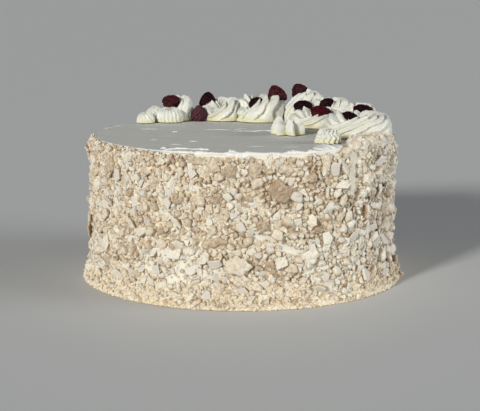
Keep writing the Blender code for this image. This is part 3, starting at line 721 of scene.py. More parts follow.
# Further pieces that stand out at the front, given in the same way.
FRONT_PIECES = (
    (-15.8, 0.0980, 0.0110, 0.0090, -30.0, 0.55),
    (-13.5, 0.0910, 0.0100, 0.0070, -45.0, 0.03),
    (-17.0, 0.0790, 0.0100, 0.0090, 0.0, 0.12),
    (-24.1, 0.0820, 0.0120, 0.0080, 60.0, 0.03),
    (-31.2, 0.0820, 0.0110, 0.0090, 0.0, 0.45),
    (-6.0, 0.0630, 0.0100, 0.0100, 0.0, 0.50),
    (-26.0, 0.0420, 0.0090, 0.0090, 0.0, 0.84),
    (-24.5, 0.0355, 0.0140, 0.0100, 0.0, 0.05),
    (-35.0, 0.0250, 0.0130, 0.0080, 60.0, 0.40),
    (-29.8, 0.0136, 0.0110, 0.0090, 0.0, 0.03),
    (9.1, 0.0990, 0.0110, 0.0050, 80.0, 0.08),
    (15.3, 0.0925, 0.0110, 0.0090, 0.0, 0.55),
    (1.2, 0.0730, 0.0110, 0.0100, 0.0, 0.80),
    (4.7, 0.0698, 0.0120, 0.0070, 0.0, 0.02),
    (11.4, 0.0595, 0.0140, 0.0080, 75.0, 0.04),
    (38.5, 0.0330, 0.0100, 0.0100, 0.0, 0.10),
    (0.0, 0.0190, 0.0140, 0.0110, 0.0, 0.35),
    (30.5, 0.0110, 0.0120, 0.0100, 0.0, 0.10),
)
# The other large pieces of the solid: how many, their length from first to last, how low their middles come,
# how many places are tried for each, and those at the foot.
SIDE_PIECES = 21
LARGEST_PIECE = 0.0135
SMALLEST_PIECE = 0.0085
LOWEST_PIECE = 0.016
PLACES_TRIED = 60
FOOT_PIECES = 15
FOOT_PIECE = 0.0075
# How sharp the eased edges of a large piece are, the steps of its mesh along each side of a cube, and the
# share of the large pieces that keep their skin.
EDGE_SHARPNESS = 40.0
LARGE_STEPS = 12
LARGE_SKINNED = 0.28
# Edges that turn by more degrees than this stay sharp: on the large pieces, and on the smaller bits.
LARGE_CREASE = 32.0
BIT_CREASE = 20.0
# No piece comes lower than this.
LOWEST_POINT = 0.0001
# One generator gives the draws of all the scattered bits, in the order of this script.
SCATTER_SEED = 5
scatter_draw = np.random.default_rng(SCATTER_SEED)


def cube_ball(steps):
    """Directions over a ball, from a cube whose sides are cut in squares, and those squares."""
    line = np.tan(np.linspace(-0.25 * math.pi, 0.25 * math.pi, steps + 1))
    across, up = np.meshgrid(line, line)
    side = np.stack((across, up, np.ones_like(across)), axis=-1).reshape(-1, 3)
    corner = (np.arange(steps)[:, None] * (steps + 1) + np.arange(steps)).ravel()
    squares = np.stack((corner, corner + 1, corner + steps + 2, corner + steps + 1), axis=-1)
    points = []
    faces = []
    for axis in range(3):
        turned = np.roll(side, axis, axis=1)
        faces.append(squares + 2 * axis * len(side))
        faces.append(squares[:, ::-1] + (2 * axis + 1) * len(side))
        points += [turned, -turned]
    merged, back = np.unique(np.round(np.concatenate(points), 6), axis=0, return_inverse=True)
    directions = merged / np.linalg.norm(merged, axis=1, keepdims=True)
    return directions, back.ravel()[np.concatenate(faces)]


def cut_bits(corners, rings):
    """Bits in boxes of side 1: rings of corners at uneven angles and reaches, with a point at each end.

    A ring is its height, its share of the outline, and how far its corners stray."""
    around = (KINDS_CUT, corners)
    angle = 2.0 * math.pi * (np.arange(corners) + scatter_draw.uniform(-0.36, 0.36, around)) / corners
    reach = scatter_draw.uniform(0.62, 1.0, around)
    levels = []
    for height, share, stray in rings:
        grown = reach * share * (1.0 + stray * scatter_draw.uniform(-1.0, 1.0, around))
        lifted = height + stray * scatter_draw.uniform(-1.0, 1.0, around)
        levels.append(np.stack((np.cos(angle) * grown, np.sin(angle) * grown, lifted), axis=-1))
    shapes = with_ends(np.stack(levels, axis=1))
    low, high = shapes.min(axis=1, keepdims=True), shapes.max(axis=1, keepdims=True)
    return (shapes - 0.5 * (low + high)) / (high - low)


def lay_on_wall(shapes, places, sizes, turns, leans):
    """Points of pieces on the wall: each is scaled, leaned about two axes, turned in the wall and put out.

    A place is an angle to the right, a height and a distance from the axis."""
    x, y, z = np.moveaxis(shapes * sizes[:, None, :], -1, 0)
    y, z = rotated(y, z, leans[:, :1])
    z, x = rotated(z, x, leans[:, 1:])
    x, y = rotated(x, y, turns[:, None])
    right, ahead = rotated(x, -(z + places[:, 2:]), places[:, :1])
    return np.stack((right, ahead, y + places[:, 1:2]), axis=-1)


def piece_marks(shapes, tones, skinned):
    """Marks for pieces: tone in red, in green the way out from the wall, low where a painted shade darkens
    the side towards the wall, and smooth skin in blue.

    The skin lies on the outer face of a share of the pieces, and the crumb shows on their broken sides."""
    count, corners = shapes.shape[:2]
    depth = shapes[..., 2] / np.abs(shapes[..., 2]).max(axis=1, keepdims=True)
    marks = np.ones((count, corners, 4))
    marks[..., 0] = tones[:, None]
    # Green: low on the side towards the wall, where the finish lays a painted shade.
    marks[..., 1] = eased(depth, -0.6, 0.5)
    marks[..., 2] = (scatter_draw.random(count) < skinned)[:, None] * eased(depth, 0.35, 0.85)
    return marks.reshape(-1, 4)


def solid_reach(height):
    """Distance from the axis of the solid's wall and its bank."""
    return SOLID_WALL_RADIUS + (SOLID_FOOT_RADIUS - SOLID_WALL_RADIUS) * bank_share(height)


def hull_shape(corners, directions):
    """The hull of some corners with its edges eased: in each direction, the nearest of its planes."""
    shell = bmesh.new()
    for corner in corners:
        shell.verts.new(corner)
    found = bmesh.ops.convex_hull(shell, input=shell.verts)
    inside = [part for part in found["geom_interior"] if isinstance(part, bmesh.types.BMVert)]
    bmesh.ops.delete(shell, geom=inside, context="VERTS")
    bmesh.ops.recalc_face_normals(shell, faces=shell.faces)
    shell.normal_update()
    normals = np.array([face.normal for face in shell.faces])
    offsets = np.array([face.normal.dot(face.verts[0].co) for face in shell.faces])
    shell.free()
    offsets = np.maximum(offsets, 0.08 * np.abs(corners).max())
    facing = np.maximum(directions @ normals.T, 0.0) / offsets
    return directions * np.sum(facing ** EDGE_SHARPNESS, axis=1)[:, None] ** (-1.0 / EDGE_SHARPNESS)


def broken_corners(draw, length, width, thickness):
    """The corners of a large piece, drawn near a flat ellipsoid and brought to its size, as in the solid."""
    corners = []
    for index in range(SOLID_CORNERS):
        around = 2.0 * math.pi * (index + 0.5 * draw.random()) / SOLID_CORNERS
        up = draw.uniform(-0.8, 0.8)
        flat = math.sqrt(1.0 - up * up) * draw.uniform(0.85, 1.0)
        corners.append((flat * math.cos(around), flat * math.sin(around), up))
    corners = np.array(corners)
    low, high = corners.min(axis=0), corners.max(axis=0)
    return (corners - 0.5 * (low + high)) / (high - low) * np.array((length, width, thickness))


def solid_apart(angle, other):
    """Distance round the solid's wall between two angles in degrees."""
    return abs(math.remainder(angle - other, 360.0)) * math.radians(1.0) * SOLID_WALL_RADIUS


def kept_free(angle, height, size):
    """True where the solid has bare cream, its parting or a berry-sized shard."""
    if solid_apart(angle, PARTING_ANGLE) < 0.5 * size + 0.5 * SOLID_PARTING_WIDTH:
        return True
    for smear, middle, half_width, half_height in SOLID_SMEARS:
        across = solid_apart(angle, smear) / (half_width + 0.3 * size)
        along = (height - middle) / (half_height + 0.3 * size)
        if across * across + along * along < 1.0:
            return True
    for node, shard, middle, length, *rest in SHARDS:
        if math.hypot(solid_apart(angle, shard), height - middle) < 0.5 * length + 0.5 * size + SHARD_SPACE:
            return True
    return False


def room_at(place, others):
    """Distance on the solid's wall from a place to the nearest of the others."""
    return min(math.hypot(solid_apart(place[0], other[0]), place[1] - other[1]) for other in others)


def solid_places(draw):
    """Where the solid has its large pieces: the front's, then each where it is farthest from the others."""
    places = list(SOLID_PIECES)
    for index in range(SIDE_PIECES):
        size = LARGEST_PIECE + (SMALLEST_PIECE - LARGEST_PIECE) * index / (SIDE_PIECES - 1)
        highest = CAKE_HEIGHT - 0.001 - 0.5 * size
        tried = [
            (draw.uniform(-180.0, 180.0), draw.uniform(LOWEST_PIECE, highest))
            for place in range(PLACES_TRIED)
        ]
        free = [place for place in tried if not kept_free(*place, size)]
        angle, height = max(free, key=lambda place: room_at(place, places))
        tone = 0.62 * abs(math.sin(17.0 * index)) + 0.10
        places.append((angle, height, size, size * draw.uniform(0.65, 0.90), draw.uniform(0.0, 180.0), tone))
    for index in range(FOOT_PIECES):
        angle = -180.0 + 360.0 * (index + 0.7 * draw.random()) / FOOT_PIECES
        height = draw.uniform(0.0045, 0.0090)
        places.append((angle, height, FOOT_PIECE, 0.8 * FOOT_PIECE, draw.uniform(0.0, 180.0), 0.35))
    return places


def rough_piece(corners, directions, seed):
    """A large piece: the eased hull, with dents and grain that run through it."""
    shape = hull_shape(corners, directions)
    size = np.ptp(corners, axis=0).max()
    spot = shape + 7.0 * seed
    dents = 0.055 * size * np.minimum(lattice_noise(spot, 0.30 * size, 41), 0.25)
    grain = 0.00085 * lattice_noise(spot, 0.0024, 42) + 0.00040 * lattice_noise(spot, 0.0011, 43)
    return shape + directions * (dents + grain)[:, None]


def large_pieces(draw):
    """Faces, shapes, points, places and tones of the large pieces, with the draws in the solid's order.

    The further ones of the front come last, with draws of their own."""
    directions, squares = cube_ball(LARGE_STEPS)
    pieces = []
    in_solid = solid_places(draw)
    for index, (angle, height, length, width, turn, tone) in enumerate(in_solid + list(FRONT_PIECES)):
        if index == len(in_solid):
            draw = random.Random(SOLID_SEED + 1)
        thickness = width * draw.uniform(0.50, 0.70)
        shape = rough_piece(broken_corners(draw, length, width, thickness), directions, index)
        lean = (draw.uniform(-0.22, 0.22), draw.uniform(-0.22, 0.22))
        place = (math.radians(angle), height, solid_reach(height) + 0.04 * thickness)
        pieces.append((shape, place, math.radians(turn), lean, tone))
    shapes, places, turns, leans, tones = (np.array(column) for column in zip(*pieces))
    points = lay_on_wall(shapes, places, np.ones((len(shapes), 3)), turns, leans)
    points[..., 2] = np.maximum(points[..., 2], LOWEST_POINT)
    return squares, shapes, points, places, tones


def meringue_finish():
    """Broken meringue: the crumb runs from cream through beige to brown by its tone, with grain and pits.

    The skin is smooth and grey-white, and a painted shade, brown in tone, darkens each piece towards the
    wall."""
    glow = {"Subsurface Weight": 0.10, "Subsurface Radius": (1.0, 0.8, 0.5), "Subsurface Scale": 0.0015}
    material, tree, shader, split = new_finish("meringue", {"Roughness": 0.72, **glow})
    place = add_node(tree, "TexCoord")
    cloud = add_node(tree, "TexNoise", {"Scale": 460.0, "Detail": 4.0, "Roughness": 0.66})
    shift = add_node(tree, "Math", {1: 1.70}, operation="MULTIPLY_ADD")
    level = add_node(tree, "Math", {1: 0.85}, operation="SUBTRACT")
    ramp = add_node(tree, "ValToRGB")
    steps = ramp.color_ramp.elements
    steps[0].position, steps[0].color = 0.03, (0.88, 0.84, 0.73, 1.0)
    steps[1].position, steps[1].color = 1.0, (0.40, 0.29, 0.19, 1.0)
    for position, colour in (
        (0.22, (0.84, 0.76, 0.61, 1.0)),
        (0.45, (0.73, 0.62, 0.46, 1.0)),
        (0.70, (0.57, 0.45, 0.32, 1.0)),
    ):
        steps.new(position).color = colour
    pits = add_node(tree, "TexVoronoi", {"Scale": 1100.0})
    relief = add_node(tree, "Math", {1: 0.5}, operation="MULTIPLY_ADD")
    skin = add_node(tree, "Mix", data_type="RGBA")
    skin.inputs["B"].default_value = (0.71, 0.675, 0.60, 1.0)
    # The painted shade: a brown that darkens each piece towards the wall, by the green mark.
    crack_shade = add_node(tree, "Mix", data_type="RGBA")
    crack_shade.inputs["A"].default_value = (0.42, 0.275, 0.15, 1.0)
    bump = add_node(tree, "Bump", {"Distance": 0.0008})
    rough = add_node(tree, "MapRange", {"To Min": 0.90, "To Max": 0.30})
    wire(
        tree,
        (place, "Object", cloud, "Vector"),
        (place, "Object", pits, "Vector"),
        (cloud, "Fac", shift, 0),
        (split, "Red", shift, 2),
        (shift, 0, level, 0),
        (level, 0, ramp, "Fac"),
        (ramp, "Color", skin, "A"),
        (split, "Blue", skin, "Factor"),
        (skin, "Result", crack_shade, "B"),
        (split, "Green", crack_shade, "Factor"),
        (crack_shade, "Result", shader, "Base Color"),
        (pits, "Distance", relief, 0),
        (cloud, "Fac", relief, 2),
        (relief, 0, bump, "Height"),
        (split, "Blue", rough, "Value"),
        (rough, "Result", bump, "Strength"),
        (bump, "Normal", shader, "Normal"),
    )
    return material


meringue = meringue_finish()
solid_draw = random.Random(SOLID_SEED)
large_squares, large_shapes, large_points, large_places, large_tones = large_pieces(solid_draw)
large_faces = repeated(large_squares, *large_points.shape[:2])
large_marks = piece_marks(large_shapes, large_tones, LARGE_SKINNED)
large = make_mesh(
    "meringue_large", large_points.reshape(-1, 3), (large_faces,), meringue, large_marks, LARGE_CREASE
)
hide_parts("cake")

# The kinds of smaller bits: corners, and each ring's height, share of the outline and how far it strays.
BIT_KINDS = {
    "pebble": (7, ((-0.50, 0.78, 0.08), (0.02, 1.0, 0.13), (0.32, 0.86, 0.13), (0.47, 0.44, 0.10))),
    "flake": (5, ((-0.50, 0.86, 0.05), (0.30, 1.0, 0.05), (0.50, 0.80, 0.08))),
    "chip": (5, ((-0.50, 0.80, 0.10), (0.10, 1.0, 0.12), (0.45, 0.60, 0.12))),
    "crumb": (4, ((-0.40, 1.0, 0.15), (0.40, 0.75, 0.18))),
}
# How many shapes of each kind are cut, and how many places are drawn for each bit.
KINDS_CUT = 40
DRAWS_FOR_A_PLACE = 24
# The ends of a bit lie at this share of its size from its middle, and keep off cream barer than this.
END_SHARE = 0.42
BARE_LIMIT = 0.25
# Of the crumbs that fall on bare cream, this share stays there, below this height.
STRAY_SHARE = 0.15
STRAYS_BELOW = 0.070
# How far crumbs lean, in radians.
CRUMB_LEAN = 0.7
# Room that the pieces laid so far keep: a large piece, and a berry-sized shard.
LARGE_ROOM = 0.0100
SHARD_ROOM = 0.017
bits = {
    kind: (closed_faces(len(rings), corners), cut_bits(corners, rings))
    for kind, (corners, rings) in BIT_KINDS.items()
}


def pebble_chance(angle, height):
    """Pebbles are fewer in the dust at the foot and in the patch of small crumbs at the upper right."""
    patch = eased(-np.abs(around_wall(angle, 33.0)), -0.028, -0.018) * eased(height, 0.055, 0.065)
    return eased(height, 0.006, 0.016) * (1.0 - 0.75 * patch)


def flake_chance(angle, height):
    """Pale flakes of skin are more frequent low on the wall and towards the right."""
    across = around_wall(angle, 90.0)
    right = eased(across, -0.150, -0.060) * eased(-np.abs(across), -0.2, -0.1)
    return (0.45 + 0.40 * eased(-height, -0.070, -0.035) + 0.30 * right) * eased(height, 0.008, 0.014)


def above_the_bank(angle, height):
    """Chips are fewer in the bank of fine crumbs at the foot."""
    return 0.35 + 0.65 * eased(height, 0.009, 0.016)


def toned(found, middle, spread):
    """A tone for each bit about a middle: paler where cream lies over the crumbs, and in the bank."""
    tones = scatter_draw.normal(middle, spread, len(found))
    tones -= 0.30 * creaminess(found[:, 0], found[:, 1])
    tones -= 0.12 * eased(-found[:, 1], -0.022, -0.012)
    return np.clip(tones, 0.0, 0.95)


def spread_on_wall(sizes, heights, room, taken, chance):
    """Places for bits of these sizes, largest first: the first of a few draws that is free of the others.

    Room is how far two bits keep apart, as a share of their half sizes. A bit with no free draw is left out.
    The second result is the places of all pieces so far, each an angle, a height and a size."""
    kept = np.concatenate((taken, np.zeros((len(sizes), 3))))
    filled = len(taken)
    for size in np.sort(sizes)[::-1]:
        angle = scatter_draw.uniform(-math.pi, math.pi, DRAWS_FOR_A_PLACE)
        height = scatter_draw.uniform(*heights, DRAWS_FOR_A_PLACE)
        beside = END_SHARE * size / BED_RADIUS
        bare = np.maximum(bare_at(angle - beside, height), bare_at(angle + beside, height))
        allowed = (bare < BARE_LIMIT) & (scatter_draw.random(DRAWS_FOR_A_PLACE) < chance(angle, height))
        angle, height = angle[allowed], height[allowed]
        across = wrapped(angle[:, None] - kept[None, :filled, 0]) * BED_RADIUS
        apart = np.hypot(across, height[:, None] - kept[None, :filled, 1])
        free = (apart - room * 0.5 * (size + kept[None, :filled, 2])).min(axis=1, initial=1.0) > 0.0
        if free.any():
            first = np.argmax(free)
            kept[filled] = (angle[first], height[first], size)
            filled += 1
    return kept[len(taken):filled], kept[:filled]


def scattered(name, kind, found, flatness, sink, leaning, tones, skinned, finish, back=0.0, crack_shade=1.0):
    """One mesh of bits of a kind at these places, or back from them towards the axis.

    Flatness is the range of thickness, sink how far out the middles lie, and crack_shade how strong the
    painted shade is on their sides towards the wall."""
    faces, shapes = bits[kind]
    count = len(found)
    shapes = shapes[scatter_draw.integers(0, len(shapes), count)]
    angle, height, size = found.T
    width = size * scatter_draw.uniform(0.65, 0.95, count)
    thick = size * scatter_draw.uniform(*flatness, count)
    places = np.stack((angle, height, solid_reach(height) + sink * thick - back), axis=-1)
    turns = scatter_draw.uniform(0.0, 2.0 * math.pi, count)
    leans = scatter_draw.normal(0.0, leaning, (count, 2))
    points = lay_on_wall(shapes, places, np.stack((size, width, thick), axis=-1), turns, leans)
    points[..., 2] = np.maximum(points[..., 2], LOWEST_POINT)
    marks = piece_marks(shapes, tones, skinned)
    # The painted shade towards the wall, weakened where crack_shade is below 1.
    marks[:, 1] = 1.0 - crack_shade * (1.0 - marks[:, 1])
    copies = [repeated(group, count, shapes.shape[1]) for group in faces]
    made = make_mesh(name, points.reshape(-1, 3), copies, finish, marks, BIT_CREASE)
    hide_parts("cake")


def loose_places(count, heights, sizes):
    """Places that may overlap others, with the angle, height and size of each: few lie on the bare cream."""
    angle = scatter_draw.uniform(-math.pi, math.pi, count)
    height = scatter_draw.uniform(*heights, count)
    strays = (scatter_draw.random(count) < STRAY_SHARE) & (height < STRAYS_BELOW)
    kept = (bare_at(angle, height) < 0.5) | strays
    size = scatter_draw.uniform(*sizes, count)
    return np.stack((angle, height, size), axis=-1)[kept]


# Bits that keep apart: name, kind, number, least, likeliest and largest size, heights, room, where they are
# more frequent, thickness, how far out their middles lie, lean, tone and its spread, share with skin.
SPREAD_BITS = (
    (
        "meringue_pebbles", "pebble", 560, (0.0040, 0.0054, 0.0122), (0.004, 0.1000), 0.80, pebble_chance,
        (0.50, 0.85), 0.18, 0.36, (0.43, 0.17), 0.15,
    ),
    (
        "meringue_flakes", "flake", 480, (0.0038, 0.0056, 0.0122), (0.006, 0.0990), 0.66, flake_chance,
        (0.16, 0.30), 0.80, 0.42, (0.25, 0.16), 0.45,
    ),
    (
        "meringue_chips", "chip", 4400, (0.0022, 0.0028, 0.0056), (0.002, 0.1030), 0.66, above_the_bank,
        (0.40, 0.90), 0.38, 0.60, (0.33, 0.20), 0.20,
    ),
)
taken = np.array(
    [(angle, height, LARGE_ROOM) for angle, height, reach in large_places]
    + [(math.radians(shard[1]), shard[2], SHARD_ROOM) for shard in SHARDS]
)
for name, kind, count, sizes, heights, room, chance, flatness, sink, leaning, tone, skinned in SPREAD_BITS:
    found, taken = spread_on_wall(scatter_draw.triangular(*sizes, count), heights, room, taken, chance)
    scattered(name, kind, found, flatness, sink, leaning, toned(found, *tone), skinned, meringue)

# Crumbs that may overlap: name, number, heights, sizes, thickness, how far out they lie, tone and its
# spread, share with skin, finish.
LOOSE_CRUMBS = (
    ("coat_bits", 5200, (0.002, 0.1036), (0.0018, 0.0036), (0.4, 0.9), 0.42, (0.34, 0.30), 0.15, meringue),
    (
        "coat_crumbs", 12000, (0.001, 0.1038), (0.0010, 0.0022), (0.5, 0.9), 0.34, (0.42, 0.34), 0.0,
        golden_crumbs,
    ),
)
for name, count, heights, sizes, flatness, sink, tone, skinned, finish in LOOSE_CRUMBS:
    found = loose_places(count, heights, sizes)
    scattered(name, "crumb", found, flatness, sink, CRUMB_LEAN, toned(found, *tone), skinned, finish)

# The crumbs in the bank at the foot: how many, up to what height, their sizes, and their tones.
FOOT_CRUMBS = 11000
FOOT_CRUMBS_TO = 0.0170
FOOT_CRUMB_SIZES = (0.0009, 0.0024)
FOOT_TONES = (0.0, 0.7)
# Its crack colour, too, is a painted shade, lighter than on the wall.
pale_gold = crumb_finish(
    "pale gold",
    light=(0.94, 0.90, 0.77, 1.0), middle=(0.90, 0.80, 0.58, 1.0),
    dark=(0.78, 0.61, 0.38, 1.0), crack_shade=(0.62, 0.44, 0.24, 1.0),
)
found = loose_places(FOOT_CRUMBS, (0.0, FOOT_CRUMBS_TO), FOOT_CRUMB_SIZES)
foot_tones = scatter_draw.uniform(*FOOT_TONES, len(found))
scattered("foot_crumbs", "crumb", found, (0.5, 0.9), 0.34, CRUMB_LEAN, foot_tones, 0.0, pale_gold)

# Chips and crumbs pile a few millimetres over the rim on the right and on the top behind it, up to the front
# swirl. They are bits of the same meringue, which fell there as the coat was pressed on.
PILE_FROM = 44.0
PILE_TO = 76.0
PILE_BREADTH = 0.015
PILE_HEIGHT = 0.0042
# The middle of the piled bits' tones, and how strong the painted shade is on their sides towards the wall.
PILE_TONE = 0.16
PILE_CRACK_SHADE = 0.3
# Piled bits: name, kind, number, sizes, thickness, how far out they lie, lean, spread and end of the tones.
PILED_BITS = (
    ("pile_pebbles", "pebble", 105, (0.0056, 0.0108), (0.45, 0.75), -0.10, 0.5, 0.12, 0.5),
    ("pile_chips", "chip", 330, (0.0020, 0.0046), (0.45, 0.85), 0.10, 0.7, 0.14, 0.6),
)


def piled_places(count, sizes):
    """Places on a low mound along the rim, and their distance in from the wall.

    The mound's height falls to nothing at both ends of the stretch and towards the middle of the cake."""
    share = scatter_draw.random(count)
    angle = np.radians(PILE_FROM + (PILE_TO - PILE_FROM) * share)
    back = scatter_draw.random(count) ** 1.8
    stretch = eased(share, 0.0, 0.08) * (1.0 - 0.8 * eased(share, 0.45, 0.95))
    rise = PILE_HEIGHT * stretch * (1.0 - 0.65 * back) * scatter_draw.random(count)
    breadth = PILE_BREADTH * (0.25 + 0.75 * eased(share, 0.05, 0.28)) * (1.0 - eased(share, 0.55, 0.95))
    size = scatter_draw.uniform(*sizes, count)
    height = CAKE_HEIGHT - 0.0016 * (1.0 - eased(back * breadth, 0.001, 0.004)) + rise
    return np.stack((angle, height, size), axis=-1), back * breadth


for name, kind, count, sizes, flatness, sink, leaning, spread, end in PILED_BITS:
    found, back = piled_places(count, sizes)
    tones = np.clip(scatter_draw.normal(PILE_TONE, spread, count), 0.0, end)
    scattered(name, kind, found, flatness, sink, leaning, tones, 0.0, meringue, back, PILE_CRACK_SHADE)

# The berry-sized shards: broken shells of meringue pressed flat on the coat, crumbly above and smooth below.
# Each is a high-resolution hull on the solid's corners, with dents and grain.
SHARD_STEPS = 26
SHARD_SEED = 100
# A shard's under side lies over the crags of the solid's wall, clear of them.
CRAG_DEPTH = 0.0013
SHARD_CLEARANCE = 0.0003
shard_directions, shard_squares = cube_ball(SHARD_STEPS)
for seed, (node, degrees, level, length, width, thickness, turn, tone) in enumerate(SHARDS, SHARD_SEED):
    shape = rough_piece(broken_corners(solid_draw, length, width, thickness), shard_directions, seed)[None]
    reach = SOLID_WALL_RADIUS + CRAG_DEPTH + 0.5 * thickness + SHARD_CLEARANCE
    place = np.array([(math.radians(degrees), level, reach)])
    shard_points = lay_on_wall(shape, place, np.ones((1, 3)), np.radians([turn]), np.zeros((1, 2)))
    shard_marks = piece_marks(shape, np.array([tone]), 0.0)
    shard = make_mesh(node + "_piece", shard_points[0], (shard_squares,), meringue, shard_marks)
    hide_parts(node)

# The raspberries: frozen whole ones, dark red under frost, pressed into the cream while it was soft.
# Each is a ball of some sixty drupelets round a hollow, a little longer than wide.
# Berries: node, centre x and y, height above the top, radius, lean and turn in degrees, frost, redness.
BERRIES = (
    ("raspberry_left", -0.0563, 0.0835, 0.0140, 0.0073, 58.0, 80.0, 0.45, 0.35),
    ("raspberry_far_left", -0.0275, 0.0955, 0.0136, 0.0078, 0.0, 100.0, 0.0, 0.05),
    ("raspberry_on_top_cream", -0.0341, 0.0795, 0.0052, 0.0070, 0.0, 150.0, 0.85, 0.35),
    ("raspberry_far_sunk", 0.0124, 0.0780, 0.0130, 0.0072, 60.0, 20.0, 0.0, 0.0),
    ("raspberry_far_tall", 0.0277, 0.0850, 0.0196, 0.0084, 22.0, 260.0, 0.45, 0.35),
    ("raspberry_far_middle", 0.0466, 0.0915, 0.0216, 0.0078, 40.0, 310.0, 0.45, 0.20),
    ("raspberry_middle", 0.0480, 0.0620, 0.0118, 0.0074, 60.0, 80.0, 0.05, 0.0),
    ("raspberry_inner", 0.0600, 0.0340, 0.0092, 0.0086, 75.0, 90.0, 0.0, 0.45),
    ("raspberry_far_right", 0.0668, 0.0590, 0.0149, 0.0060, 50.0, 60.0, 0.10, 0.05),
    ("raspberry_front_sunk", 0.0788, -0.0040, 0.0104, 0.0064, 80.0, 80.0, 0.0, 0.0),
    ("raspberry_front", 0.0899, 0.0085, 0.0131, 0.0082, 75.0, 90.0, 0.0, 0.03),
)
BERRY_TAPER = 0.26
BERRY_TALLNESS = 1.08
BERRY_BASE = -0.72
DRUPELETS = 58
DRUPELET_ANGLE = 0.265
BERRY_COLUMNS = 104
BERRY_RINGS = 76
FIRST_BERRY_SEED = 60


def berry_rows(seed):
    """A unit berry, tip up: drupelets on a spiral, over a ball that tapers up from a flat, hollow foot."""
    draw = np.random.default_rng(seed)
    tilts = np.linspace(math.pi * 0.995, math.pi * 0.005, BERRY_RINGS)
    tilt, angle = np.meshgrid(tilts, full_turn(BERRY_COLUMNS), indexing="ij")
    ring = np.sin(tilt)
    directions = np.stack((ring * np.cos(angle), ring * np.sin(angle), np.cos(tilt)), axis=-1)
    index = np.arange(DRUPELETS) + 0.5
    level = 1.0 - 2.0 * index / DRUPELETS
    around = math.pi * (1.0 + math.sqrt(5.0)) * index + draw.uniform(-0.10, 0.10, DRUPELETS)
    flat = np.sqrt(1.0 - level ** 2)
    centres = np.stack((flat * np.cos(around), flat * np.sin(around), level), axis=-1)
    swelling = draw.uniform(0.85, 1.10, DRUPELETS)
    apart = np.arccos(np.clip(directions @ centres.T, -1.0, 1.0)) / (DRUPELET_ANGLE * swelling)
    nearest = apart.min(axis=-1)
    bump = np.sqrt(np.clip(1.0 - (nearest / 1.30) ** 2, 0.0, 1.0))
    reach = 0.78 + 0.23 * bump - 0.05 * np.clip(np.cos(tilt), 0.0, 1.0)
    rows = directions * reach[..., None] * (1.0, 1.0, BERRY_TALLNESS)
    rows[..., :2] *= (1.0 - BERRY_TAPER * (0.4 + directions[..., 2:]))
    rows[..., 2] = np.maximum(rows[..., 2], BERRY_BASE - 0.06 * bump)
    rows[..., 2] += 0.35 * eased(-np.cos(tilt), 0.90, 0.98)
    marks = np.ones(rows.shape[:2] + (4,))
    # Red: how high the drupelet stands; low between drupelets, where the skin takes a painted shade.
    marks[..., 0] = bump
    return rows, marks


# The look that all the berries share: skin that is darker between the drupelets, a painted shade there,
# under patches of pale frost, which is rougher than the skin.
frosted_skin, skin_in, skin_out = new_group(
    "frosted skin",
    {
        "Between Shade": (0.004, 0.0, 0.001, 1.0), "Drupelet": (0.012, 0.002, 0.003, 1.0), "Bulge": 1.0,
        "Frost From": 0.62, "Frost To": 0.86, "Frost Share": 0.02,
    },
    ("Roughness", "Height"),
)
skin_place = add_node(frosted_skin, "TexCoord")
skin_cloud = add_node(frosted_skin, "TexNoise", {"Scale": 480.0, "Detail": 5.0, "Roughness": 0.7})
skin_bulge = add_node(frosted_skin, "MapRange", {"From Min": 0.15})
skin_colour = add_node(frosted_skin, "Mix", data_type="RGBA")
skin_patch = add_node(frosted_skin, "MapRange")
skin_frost = add_node(frosted_skin, "Mix", data_type="RGBA")
skin_frost.inputs["B"].default_value = (0.19, 0.095, 0.118, 1.0)
skin_rough = add_node(frosted_skin, "MapRange", {"To Min": 0.48, "To Max": 0.85})
wire(
    frosted_skin,
    (skin_place, "Object", skin_cloud, "Vector"),
    (skin_in, "Bulge", skin_bulge, "Value"),
    (skin_bulge, "Result", skin_colour, "Factor"),
    (skin_in, "Between Shade", skin_colour, "A"),
    (skin_in, "Drupelet", skin_colour, "B"),
    (skin_cloud, "Fac", skin_patch, "Value"),
    (skin_in, "Frost From", skin_patch, "From Min"),
    (skin_in, "Frost To", skin_patch, "From Max"),
    (skin_in, "Frost Share", skin_patch, "To Max"),
    (skin_patch, "Result", skin_frost, "Factor"),
    (skin_colour, "Result", skin_frost, "A"),
    (skin_patch, "Result", skin_rough, "Value"),
    (skin_frost, "Result", skin_out, "Colour"),
    (skin_rough, "Result", skin_out, "Roughness"),
    (skin_cloud, "Fac", skin_out, "Height"),
)


def berry_finish(name, frost, redness):
    """Frozen raspberry: more frost makes its patches wider and paler, and redness warms the skin below."""
    values = {
        "Between Shade": (0.004 + 0.006 * redness, 0.0, 0.001, 1.0),
        "Drupelet": (0.012 + 0.120 * redness, 0.002 + 0.004 * redness, 0.003 + 0.007 * redness, 1.0),
        "Frost From": 0.62 - 0.30 * frost,
        "Frost To": 0.86 - 0.18 * frost,
        "Frost Share": 0.02 + 0.44 * frost,
    }
    gloss = {"Specular IOR Level": 0.08 + 0.16 * frost}
    return group_finish(name, frosted_skin, values, {"Red": "Bulge"}, 0.00015, gloss)


for seed, (node, x, y, level, radius, lean, turn, frost, redness) in enumerate(BERRIES, FIRST_BERRY_SEED):
    rows, berry_marks = berry_rows(seed)
    axes = np.array(Euler((math.radians(lean), 0.0, math.radians(turn))).to_matrix())
    berry_points = rows * radius @ axes.T + (x, y, CAKE_HEIGHT + level)
    finish = berry_finish(node + " skin", frost, redness)
    berry = closed_surface(node + "_piece", berry_points, finish, berry_marks)
    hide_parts(node)

# The swirls: whipped cream from a star tube, laid as a rope once round on the top, so that its ridges climb
# the outside and run over the crest into a dimple, where they end as leaves.
# Each is a grid whose rows go up the outside and over the crest, pressed against its neighbours and berries.
PIPING_CLEARANCE = 0.0003
SWIRL_COLUMNS = 270
SWIRL_RINGS = 104
